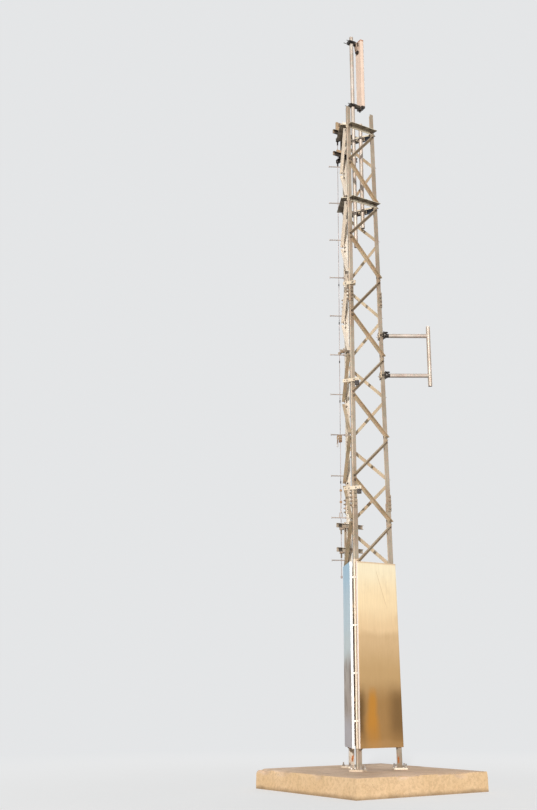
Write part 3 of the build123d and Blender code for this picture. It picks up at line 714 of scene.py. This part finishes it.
FIXING_ZINC = zinc("fixing_zinc", (210, 204, 194), (164, 156, 144), (90, 78, 66), metal=0.5, rough=0.38,
                   spangle=0.1)
PEG_ZINC = zinc("peg_zinc", (206, 198, 188), (172, 164, 154), (96, 84, 74), metal=0.4, rough=0.42)
ROPE_ZINC = zinc("rope_zinc", (196, 190, 186), (160, 154, 150), (90, 82, 76), metal=0.5, rough=0.5)
TENSIONER_ZINC = zinc("tensioner_zinc", (212, 202, 192), (184, 172, 160), (96, 84, 72),
                      bands=[(low, low + 0.030, (190, 152, 118))
                             for low in (TENSIONER_LOW + 0.140, TENSIONER_LOW + 0.310)])
BRACKET_ZINC = zinc("bracket_zinc", (206, 190, 160), (160, 144, 116), (40, 34, 30), streak=0.5)
TOP_BRACKET_ZINC = zinc("top_bracket_zinc", (204, 190, 166), (170, 154, 130), (40, 34, 30), streak=0.5,
                        stain_and_shade=bracket_shade((), TOP_BARS[0] + BAR_HALF + 0.002))
LOW_BRACKET_ZINC = zinc("low_bracket_zinc", (226, 214, 194), (196, 180, 154), (60, 50, 42),
                        stain_and_shade=bracket_shade(LOW_BARS, 0))
TAN_ZINC = zinc("tan_zinc", (206, 182, 148), (180, 160, 128), (84, 70, 50), metal=0.2, stain_and_shade=slot_shade)
DARK_PAINT = enamel("dark_paint", (36, 31, 32), (96, 86, 72), 0.48, 0.35, 0.2)
# Mast plates: dark navy, under the enamel's painted shade of downward faces
DARK_NAVY = enamel("dark_navy", (36, 45, 60), (86, 86, 88), 0.45, 0.3, 0.3)
ORANGE = enamel("orange_worn", (196, 168, 134), (158, 116, 80), 0.5, 0.5, 0.2,
                bands=[(GRAB - 0.056, GRAB - 0.022, (140, 102, 76)),
                       (GRAB - 0.2, GRAB - 0.0561, (212, 202, 190))])
RADOME = enamel("radome_shell", (244, 217, 196), (232, 200, 178), 0.42, 0.2,
                bands=[(ANTENNA_TOP - 0.020, ANTENNA_TOP + 0.1, (178, 112, 74)),
                       (ANTENNA_LOW - 0.1, ANTENNA_LOW + 0.022, (44, 38, 36))])
BLACK = enamel("black_moulding", (24, 24, 26), (52, 50, 50), 0.5, 0.2)
CONCRETE = concrete("cast_concrete")

# Sheets: tones at heights from the top down, which paint each sheet's reflection, the edges' tone, a painted
# highlight, and the way that the edges face
FRONT_SHEET = sheet_look("front_sheet", (
    (2.95, (255, 240, 206)), (2.45, (254, 228, 184)), (2.12, (240, 208, 162)), (1.97, (220, 186, 140)),
    (1.50, (200, 164, 114)), (1.10, (168, 128, 76))), (252, 236, 224), (1, 0, 0), streaked)
LEFT_SHEET = sheet_look("left_sheet", (
    (2.95, (198, 234, 254)), (2.30, (224, 244, 252)), (1.85, (232, 244, 244)), (1.50, (204, 192, 180)),
    (1.10, (198, 182, 168)), (0.70, (208, 204, 208))), (255, 252, 250), (0.5, 0.866, 0), reflected_patches)
BACK_SHEET = sheet_look("back_sheet", (
    (2.95, (222, 216, 204)), (1.90, (204, 194, 176)), (1.10, (172, 158, 132)), (0.60, (150, 132, 102))),
    (226, 220, 210), (0.5, -0.866, 0))

BY_SLOT = {
    "concrete": CONCRETE, "galvanised_steel": PLATE_ZINC, "shield_sheet": BACK_SHEET, "mast_tube": TUBE_ZINC,
    "bright_fixings": FIXING_ZINC, "cable_wire": ROPE_ZINC, "dark_steel": DARK_PAINT, "orange_metal": ORANGE,
    "radome": RADOME, "black_plastic": BLACK,
}
BY_NODE = {
    "front_face_bracing": FRONT_BRACE_ZINC, "back_face_bracing": BRACE_ZINC,
    "left_face_bracing": LEFT_BRACE_HIGHLIGHT_ZINC, "upper_mast_frame": FRAME_LIT_ZINC, "lower_mast_frame": FRAME_LIT_ZINC,
    "upper_mast_plate": DARK_NAVY, "lower_mast_plate": DARK_NAVY,
    "front_climb_shield": FRONT_SHEET, "left_climb_shield": LEFT_SHEET,
    "upper_side_arm": ARM_ZINC, "lower_side_arm": ARM_ZINC, "side_arm_clamps": BRACKET_ZINC,
    "cable_top_bracket": TOP_BRACKET_ZINC, "cable_bottom_bracket": LOW_BRACKET_ZINC,
    "cable_hangers": HANGER_ZINC, "front_leg_lower": FRONT_FOOT_HIGHLIGHT_ZINC, "right_leg_lower": RIGHT_FOOT_ZINC,
    "back_leg_lower": BACK_FOOT_HIGHLIGHT_ZINC, "back_leg_middle": BACK_LEG_HIGHLIGHT_ZINC, "back_leg_upper": BACK_LEG_HIGHLIGHT_ZINC,
    "foot_plates": FOOT_ZINC, "antenna_tilt_arm": TILT_ZINC, "cable_tensioner": TENSIONER_ZINC,
}
for subpart in frame["record"]["subparts"]:
    name = subpart["node"]
    look = BY_NODE.get(name, LEG_ZINC if "_leg_" in name else BY_SLOT[subpart["material_slot"]])
    nodes[name].data.materials.clear()
    nodes[name].data.materials.append(look)


# Concrete pad with worn and chipped edges: the middle of each chip and its reach
CHIPS = (((-PAD_HALF, 0.48, PAD_THICK), 0.17), ((-PAD_HALF, 0.86, PAD_THICK), 0.10),
         ((-PAD_HALF, -0.30, PAD_THICK), 0.08), ((0.62, -PAD_HALF, PAD_THICK), 0.12),
         ((PAD_HALF, 0.35, PAD_THICK), 0.13), ((-0.45, PAD_HALF, PAD_THICK), 0.15))
EDGE_REACH = 0.085
EDGE_WEAR = 0.008
CHIP_BITE = 0.03
DEEPEST_CHIP = 0.048
RIPPLE = 0.0025
PAD_CELLS, PAD_ROWS = 84, 12


def worn_point(p):
    """Point of the pad's skin after wear, which grows towards the top edge."""
    x, y, z = p
    side = max(abs(x), abs(y))
    near_edge = max(0.0, 1 - math.hypot(max(0.0, PAD_HALF - side), PAD_THICK - z) / EDGE_REACH)
    rough = noise.fractal(Vector((x * 3.1, y * 3.1, z * 6)), 1.0, 2.1, 4)
    bite = near_edge * (EDGE_WEAR + max(0.0, rough - 0.12) * 0.085)
    for chip, reach in CHIPS:
        bite += near_edge * CHIP_BITE * max(0.0, 1 - (Vector(p) - Vector(chip)).length / reach) ** 0.5
    ripple = RIPPLE * (noise.noise(Vector((x * 5, y * 5, z * 9))) + 0.7)
    gone = min(DEEPEST_CHIP, bite) + ripple * (0 if z <= 0 else 1)
    if abs(x) > PAD_HALF - 1e-6:
        x -= math.copysign(gone, x)
    if abs(y) > PAD_HALF - 1e-6:
        y -= math.copysign(gone, y)
    if z > PAD_THICK - 1e-6:
        z -= gone if near_edge > 0 else 0.35 * ripple
    return (x, y, z)


def pad_form():
    """Skin of the pad as square cells that share their corners."""
    points, faces, seen = [], [], {}

    def point(p):
        key = tuple(round(c, 5) for c in p)
        if key not in seen:
            seen[key] = len(points)
            points.append(worn_point(p))
        return seen[key]

    def sheet(origin, u, v, nu, nv):
        origin, u, v = Vector(origin), Vector(u), Vector(v)
        for i in range(nu):
            for j in range(nv):
                corners = [(i, j), (i + 1, j), (i + 1, j + 1), (i, j + 1)]
                faces.append([point(origin + u * (a / nu) + v * (b / nv)) for a, b in corners])

    half, side = PAD_HALF, 2 * PAD_HALF
    sheet((-half, -half, PAD_THICK), (side, 0, 0), (0, side, 0), PAD_CELLS, PAD_CELLS)
    sheet((-half, half, 0), (side, 0, 0), (0, -side, 0), PAD_CELLS, 1)
    for turn in range(4):
        spin = Matrix.Rotation(math.radians(90 * turn), 3, "Z")
        corner, along = spin @ Vector((-half, -half, 0)), spin @ Vector((side, 0, 0))
        sheet(corner, along, (0, 0, PAD_THICK), PAD_CELLS, PAD_ROWS)
    return points, faces


Shape().add(pad_form()).build("pad_cast", "concrete", CONCRETE, 50, ["concrete_pad"])

# Bolts of the bracing and of the mast frames
fixings = Shape()
for face in range(3):
    for step in range(STEPS):
        framed = step in FRAME_STEPS
        level = step_level(step) - (FRAME_DROP if framed else 0)
        half = face_width(level) / 2
        edge = SHIELD_INSET + SHIELD_SHEET if level < SHIELD_TOP else CORNER_GAP
        mark = half - (edge + BRACE_GAP + BRACE_REACH)
        gap = HALF_GAP + (FRAME_UPRIGHT / 2 if framed else 0)
        for side in (-1, 1):
            meets = (step % 2 == 0) == (side > 0)
            ups = []
            if step < STEPS - 1 and meets:
                ups.append(-gap)
            if step > 0 and meets:
                ups.append(gap)
            for up in ups:
                turn = noise.noise(Vector((face * 3.1, step * 1.7, side + up * 9))) * 3
                fixings.add(bolt(BRACE_BOLT, BRACE_THICK + LEG_THICK, BOLT_TAIL, turn),
                            face_place(face, side * mark, level + up, BRACE_THICK))
            if framed:
                for inset in FRAME_BOLTS:
                    fixings.add(bolt(FRAME_BOLT, FRAME_THICK + LEG_THICK, BOLT_TAIL, inset * 40),
                                face_place(face, side * (half - inset), level, FRAME_THICK))
fixings.build("brace_fixings", "bright_fixings", BOLT_ZINC)

# Splice bolts, with nuts outside
splices = Shape()
for joint in (LOWER_JOINT, UPPER_JOINT):
    for face in range(3):
        for side in (-1, 1):
            for rise in SPLICE_BOLTS:
                level = joint + rise
                splices.add(bolt(BRACE_BOLT, SPLICE_THICK + LEG_THICK, 0.014, rise * 30, False),
                            face_place(face, side * (face_width(level) / 2 - LEG_GAUGE), level, SPLICE_THICK))
splices.build("splice_fixings", "bright_fixings", SPLICE_ZINC)

# Anchor studs of the feet, and welds round the legs
anchors, welds = Shape(), Shape()
WELD_PARTS = 14
for leg in range(3):
    flange = FLANGES[0]
    radius = corner_radius(FOOT) - flange / 2
    turn = leg_angle(leg)
    centre = Matrix.Translation((radius * math.cos(turn), radius * math.sin(turn), FOOT))
    middle = centre @ Matrix.Rotation(turn, 4, "Z")
    for right, ahead in ((1, 1), (-1, 1), (-1, -1), (1, -1)):
        x, y = right * ANCHOR_OFF, ahead * ANCHOR_OFF
        anchors.add(stud_nut(ANCHOR_STUD, 0.030, x + 3 * y), middle @ Matrix.Translation((x, y, 0)))
    for side in (-1, 1):
        corner = Vector((flange / 2 - NOSE, 0, 0.001))
        far = Vector((flange / 2 - flange * math.cos(HALF_V), side * flange * math.sin(HALF_V), 0.001))
        path = [middle @ corner.lerp(far, i / WELD_PARTS) for i in range(WELD_PARTS + 1)]
        path = [p + Vector((0, 0, 0.0008 * math.sin(i * 2.2))) for i, p in enumerate(path)]
        welds.add(pipe(path, WELD, 8))
anchors.build("anchor_nuts", "bright_fixings", FIXING_ZINC)
welds.build("foot_welds", "galvanised_steel", PLATE_ZINC)

# Climb shields as drawn sheet that bulges a little, with clips to the legs
SHEET_ROWS = 150
SHEET_PARTS = 34
SHEET_BEND = 0.004
BROAD_BULGE, FINE_BULGE = 0.0030, 0.0008


def crease_depth(x, level):
    """Depth of the front shield's crease."""
    along = (CREASE_TOP - level) / (CREASE_TOP - CREASE_FOOT)
    off = x - (CREASE_START + CREASE_SLOPE * (CREASE_TOP - level))
    ends = max(0.0, min(1.0, 4 * along, 4 * (1 - along)))
    return CREASE_DEPTH * ends * math.exp(-(off / CREASE_WIDTH) ** 2)


def tray_section(reach, top):
    """Half-open section of a shield from one return's foot over the panel to the other's."""
    bend = SHEET_BEND
    line = [(-reach, RETURN_FOOT + (top - RETURN_FOOT) * part) for part in (0, 0.3, 0.6, 0.82)]
    line += [(-reach + bend * (1 - math.cos(a)), top - bend + bend * math.sin(a))
             for a in (0, math.pi / 6, math.pi / 3, math.pi / 2)]
    mirrored = [(-x, z) for x, z in line[::-1]]
    line += [((reach - bend) * (-1 + 2 * i / SHEET_PARTS), top) for i in range(1, SHEET_PARTS)]
    return line + mirrored


def tray(index):
    """Folded sheet on a face, as a skin of even thickness round its section."""
    points, faces = [], []
    for row in range(SHEET_ROWS + 1):
        level = SHIELD_LOW + (SHIELD_TOP - SHIELD_LOW) * (row / SHEET_ROWS)
        half = face_width(level) / 2 - SHIELD_INSET
        place = face_place(index, 0, level)
        for inset in (0, SHIELD_SHEET):
            top = SHIELD_DEPTH + SHIELD_SHEET - inset
            ring = tray_section(half - inset, top)
            for x, z in ring:
                held = max(0.0, 1 - (x / half) ** 6) * min(1, z / top)
                bulge = noise.noise(Vector((x * 2.6 + index * 7, level * 1.7, index))) * BROAD_BULGE
                bulge += noise.noise(Vector((x * 7 + index * 3, level * 4.5, 5))) * FINE_BULGE
                if index == 0:
                    bulge -= crease_depth(x, level)
                points.append(place @ Vector((x, 0, z + held * bulge)))
    count = len(ring)
    loop = 2 * count
    order = list(range(count)) + list(range(loop - 1, count - 1, -1))
    for row in range(SHEET_ROWS):
        for i in range(loop):
            a, b = order[i], order[(i + 1) % loop]
            faces.append([row * loop + a, (row + 1) * loop + a, (row + 1) * loop + b, row * loop + b])
    last = SHEET_ROWS * loop
    for i in range(count - 1):
        faces.append([i, i + 1, count + i + 1, count + i])
        faces.append([last + i, last + count + i, last + count + i + 1, last + i + 1])
    return points, faces


for index, (name, look) in enumerate((("front", FRONT_SHEET), ("back", BACK_SHEET), ("left", LEFT_SHEET))):
    Shape().add(tray(index)).build(f"{name}_shield_sheet", "shield_sheet", look, 35, [f"{name}_climb_shield"])

CLIP_FOOT = block((0.015, 0.026, 0.003), 0.0008)
CLIP_ARM = block((0.003, 0.026, 0.046), 0.0008)
CLIP_RIVET = lathe([(0.0052, 0), (0.0052, 0.0012), (0.0038, 0.0034), (0.0012, 0.004)], 12)
clips = Shape()
for index in range(3):
    for side in (-1, 1):
        for level in CLIP_LEVELS:
            half = face_width(level) / 2
            clips.add(CLIP_FOOT, face_place(index, side * (half - 0.0150), level, 0.0016))
            clips.add(CLIP_ARM, face_place(index, side * (half - SHIELD_INSET + 0.0016), level, 0.0235))
            clips.add(CLIP_RIVET, face_place(index, side * (half - SHIELD_INSET + 0.003), level, 0.036)
                      @ Matrix.Rotation(side * math.pi / 2, 4, "Y"))
clips.build("shield_clips", "bright_fixings", CLIP_ZINC)

# Masts' U-bolts as round bars, with their nuts, and the bolts that hold the plates to the legs
MAST_AXIS = face_radius(TOP_STEP) - LEG_THICK - MAST_PLATE - 0.003 - MAST_RADIUS
U_HALF = MAST_RADIUS + U_BAR + FIT_GAP
U_TAIL = 0.026 - LEG_THICK - MAST_PLATE
U_DROP = 0.072
u_bolts, mast_nuts = Shape(), Shape()
for step in FRAME_STEPS:
    level = step_level(step) - U_DROP
    depth = (face_radius(level) - MAST_AXIS) / math.cos(FACE_LEAN)
    heights = [U_TAIL, U_TAIL - 0.012, -depth / 3, -depth * 2 / 3]
    path = [(-U_HALF, 0, z) for z in heights]
    path += [(-U_HALF * math.cos(a), 0, -depth - U_HALF * math.sin(a)) for a in np.linspace(0, math.pi, 17)]
    path += [(U_HALF, 0, z) for z in heights[::-1]]
    for across in (-MAST_OFF, MAST_OFF):
        u_bolts.add(pipe(path, U_BAR, 12), face_place(1, across, level))
        for side in (-1, 1):
            outer = face_place(1, across + side * U_HALF, level, -0.005)
            inner = face_place(1, across + side * (U_HALF + 0.003), level, -LEG_THICK - MAST_PLATE)
            mast_nuts.add(stud_nut(SMALL_STUD, 0.001, across * 9 + side), outer)
            mast_nuts.add(block((0.034, 0.048, 0.005)), inner @ Matrix.Translation((0, 0, -0.0026)))
            mast_nuts.add(hexagon(0.0115, -0.016, -0.005, side), inner)
    for side in (-1, 1):
        end = side * (face_width(level) / 2 - 0.060)
        for rise in (-0.022, 0.022):
            mast_nuts.add(bolt(FRAME_BOLT, MAST_PLATE + LEG_THICK, 0.012, rise * 50),
                          face_place(1, end, level + rise))
u_bolts.build("mast_u_bars", "bright_fixings", FIXING_ZINC, 35, ["mast_u_bolts"])
mast_nuts.build("mast_fixings", "bright_fixings", BRIGHT_ZINC)

# Nuts on the clamps' studs: leg, height and thickness of the bar behind it
CLAMPS = [(1, step_level(step) + 0.054, CLAMP_THICK) for step in (5.5, 6.5)]
CLAMPS += [(2, level, BAR_THICK) for level in TOP_BARS + LOW_BARS]
CLAMPS += [(2, PEG_TOP - 5 * PANEL + 0.061, CLAMP_THICK)]
CLAMPS += [(0, level, CLAMP_THICK) for level in HANGERS]
clamp_nuts = Shape()
for leg, level, bar in CLAMPS:
    flange = flange_at(level)
    stand = flange * math.sin(HALF_V) + 0.014
    front = FIT_GAP - NOSE + CLAMP_THICK
    back = -inner_reach(flange) - FIT_GAP - bar
    for side in (-1, 1):
        clamp_nuts.add(stud_nut(SMALL_STUD, 0.012, level),
                       leg_place(leg, level, front, side * stand) @ ALONG_X)
        clamp_nuts.add(stud_nut(0.0125, 0.010, level + 1),
                       leg_place(leg, level, back, side * stand) @ ALONG_X @ TURNED_OVER)
clamp_nuts.build("clamp_nuts", "bright_fixings", FIXING_ZINC)


def step_bolt():
    """Step bolt: round shank and head, and a washer and nut each side of the flange."""
    shank = lathe([(0.008, -0.030), (0.008, 0.206), (0.0088, 0.2075)], 16)
    head = lathe([(0.010, 0.2075), (0.0148, 0.209), (0.015, 0.212), (0.0135, 0.2148), (0.006, 0.215)], 16)
    outer = joined(lathe([(0.0165, 0), (0.0165, 0.003)], 16), hexagon(0.0148, 0.003, 0.016))
    inner = joined(lathe([(0.0165, -0.008), (0.0165, -0.005)], 16), hexagon(0.0148, -0.021, -0.008, 0.5))
    return joined(shank, head, outer, inner, thread(0.0086, 0.016, 0.036, 0.0025))


for name, face, side, top, count in (("left_step_bolts", 2, -1, PEG_TOP, 11),
                                     ("back_step_bolts", 1, 1, PEG_TOP - PANEL / 2, 10)):
    row = Shape()
    for step in range(count):
        level = top - PANEL * step
        row.add(step_bolt(), face_place(face, side * (face_width(level) / 2 - LEG_GAUGE), level))
    row.build(name + "_turned", "bright_fixings", PEG_ZINC, 35, [name])

# Safety cable as a strand of seven wires, with its end fitting
WIRE, WIRE_OFF, LAY, RING_STEP = 0.0016, 0.00315, 0.11, 0.011
CABLE_KNOB = [(0.010, -0.036), (0.0135, -0.033), (0.014, -0.030), (0.014, -0.006), (0.0125, -0.002),
              (0.008, 0)]
low_end = Vector((0, corner_radius(CABLE_LOW) + CABLE_OFF, CABLE_LOW))
high_end = Vector((0, corner_radius(CABLE_HIGH) + CABLE_OFF, CABLE_HIGH))
run = high_end - low_end
cable_base = Matrix.Translation(low_end) @ run.to_track_quat("Z", "Y").to_matrix().to_4x4()
rope = Shape()
rings = int(run.length / RING_STEP)
for strand in range(6):
    path = []
    for i in range(rings + 1):
        z = run.length * i / rings
        a = 2 * math.pi * (z / LAY + strand / 6)
        path.append((WIRE_OFF * math.cos(a), WIRE_OFF * math.sin(a), z))
    rope.add(pipe(path, WIRE, 6), cable_base)
rope.add(pipe([(0, 0, run.length * part) for part in (0, 0.5, 1)], WIRE, 6), cable_base)
rope.add(lathe(CABLE_KNOB, 20), leg_place(2, CABLE_LOW, CABLE_OFF))
rope.build("cable_strand", "cable_wire", ROPE_ZINC, 60, ["safety_cable"])

# Crimped sleeves on the cable below the step bolts
SLEEVE = [(0.0056, 0), (0.0085, 0.004), (0.0085, 0.013), (0.0074, 0.015), (0.0074, 0.020), (0.0085, 0.022),
          (0.0085, 0.034), (0.0056, 0.038)]
sleeves = Shape()
for step in (3, 4, 5, 6, 8):
    level = PEG_TOP - PANEL * step - 0.085
    along = (level - CABLE_LOW) / (CABLE_HIGH - CABLE_LOW) * run.length
    sleeves.add(lathe(SLEEVE, 14), cable_base @ Matrix.Translation((0, 0, along)))
sleeves.build("cable_sleeves", "dark_steel", DARK_PAINT, 40)

# Slotted block on the upper bar at the cable's head, and a low one on the lower bar
BAR_DEPTH = 0.030
upper_bar, lower_bar = (level + BAR_HALF for level in TOP_BARS)
# Each part: its bar, its edges across the bar, its foot and top above it, and its depth
BAR_BLOCKS = ((upper_bar, 0.053, 0.180, 0, 0.070, BAR_DEPTH),
              (upper_bar, 0.053, 0.122, 0.070, 0.138, BAR_DEPTH),
              (upper_bar, 0.136, 0.180, 0.070, 0.138, BAR_DEPTH),
              (upper_bar, 0.120, 0.138, 0.070, 0.134, 0.006),
              (lower_bar, 0.085, 0.170, 0, 0.042, BAR_DEPTH))
bar_front = -inner_reach(FLANGES[2]) - FIT_GAP
bar_blocks = Shape()
for bar, near, far, low, high, deep in BAR_BLOCKS:
    place = leg_place(2, bar, bar_front - deep / 2, (near + far) / 2, (low + high) / 2 + 0.0002)
    bar_blocks.add(block((deep, far - near, high - low)), place)
bar_blocks.build("bar_blocks", "galvanised_steel", TAN_ZINC)

# Link hanging from the grab's tail
LINK_BEND, LINK_HALF = 0.010, 0.021
link = []
for a in np.linspace(0, 2 * math.pi, 32, endpoint=False):
    end = LINK_HALF if math.sin(a) > 0 else -LINK_HALF
    link.append((0, LINK_BEND * math.cos(a), end + LINK_BEND * math.sin(a) - 0.022))
Shape().add(pipe(link, 0.0035, 10, True), leg_place(2, GRAB - 0.0615, CABLE_OFF + 0.068)).build(
    "grab_link", "bright_fixings", FIXING_ZINC)

# Camera as fitted to the photograph, whose long side and focal length are in pixels
EYE = (-9.752, -12.141, 1.237)
FORWARD = Vector((0.53884, 0.803618, 0.252686))
ROLL = math.radians(-0.129)
LONG_SIDE, FOCAL = 810, 1106.78
SENSOR = 36
camera_data = bpy.data.cameras.new("camera")
camera = bpy.data.objects.new("camera", camera_data)
scene.collection.objects.link(camera)
camera_data.sensor_fit = "AUTO"
camera_data.sensor_width = SENSOR
camera_data.lens = FOCAL / LONG_SIDE * SENSOR
camera_data.clip_end = 400
camera.location = EYE
camera.rotation_mode = "QUATERNION"
camera.rotation_quaternion = FORWARD.to_track_quat("-Z", "Y") @ Euler((0, 0, ROLL)).to_quaternion()
scene.camera = camera

# Floor, which seen directly passes into the backdrop's colour away from the tower
FLOOR = 150
FLOOR_TONES = (0.80, 0.80, 0.79, 1), (0.83, 0.83, 0.82, 1)
WHITE = (1, 1, 1, 1)
BACKDROP = (0.78, 0.79, 0.80, 1)
FADE = (2.0, 12.0)
floor_mesh = bpy.data.meshes.new("floor")
floor_corners = [(x * FLOOR, y * FLOOR, 0) for x, y in ((-1, -1), (1, -1), (1, 1), (-1, 1))]
floor_mesh.from_pydata(floor_corners, [], [(0, 1, 2, 3)])
floor = bpy.data.objects.new("floor", floor_mesh)
scene.collection.objects.link(floor)
k = Look("pale_floor")
k.finish(k.mix(k.noise(0.8, 3), *FLOOR_TONES), 0.9, 0.0)
distance = k.vector("LENGTH", k.place)
glow = k.put_in("ShaderNodeEmission", k.mix(k.spread(distance, *FADE), WHITE, BACKDROP))
seen = k.node("ShaderNodeLightPath").outputs["Is Camera Ray"]
k.blend(k.times(k.spread(distance, *FADE, 0.5, 1.0), seen), k.shader, glow, "Material Output")
floor_mesh.materials.append(k.material)

# World: soft light, and the backdrop where it is seen directly or in gloss
SKY_TINT, SKY_STRENGTH = (0.94, 0.97, 1.0, 1), 0.35
world = bpy.data.worlds.new("studio")
scene.world = world
world.use_nodes = True
sky = Nodes(world.node_tree)
background = sky.tree.nodes["Background"]
background.inputs["Color"].default_value = SKY_TINT
background.inputs["Strength"].default_value = SKY_STRENGTH
ray = sky.node("ShaderNodeLightPath").outputs
shown = sky.put_in("ShaderNodeBackground", BACKDROP)
either = sky.math("MAXIMUM", ray["Is Camera Ray"], ray["Is Glossy Ray"])
sky.blend(either, background, shown, "World Output")


def sun(name, towards, strength, angle, colour):
    """Distant lamp that shines from the given side, as wide as an angle in degrees."""
    data = bpy.data.lights.new(name, "SUN")
    data.energy = strength
    data.angle = math.radians(angle)
    data.color = colour
    obj = bpy.data.objects.new(name, data)
    scene.collection.objects.link(obj)
    obj.rotation_mode = "QUATERNION"
    obj.rotation_quaternion = (-Vector(towards)).to_track_quat("-Z", "Y")


sun("key", towards=(-0.66, -0.74, 0.20), strength=2.75, angle=1.5, colour=(1.0, 0.985, 0.96))
sun("back_fill", towards=(0.80, 0.55, 0.45), strength=0.6, angle=50, colour=(0.97, 0.98, 1.0))

scene.view_settings.view_transform = "Standard"
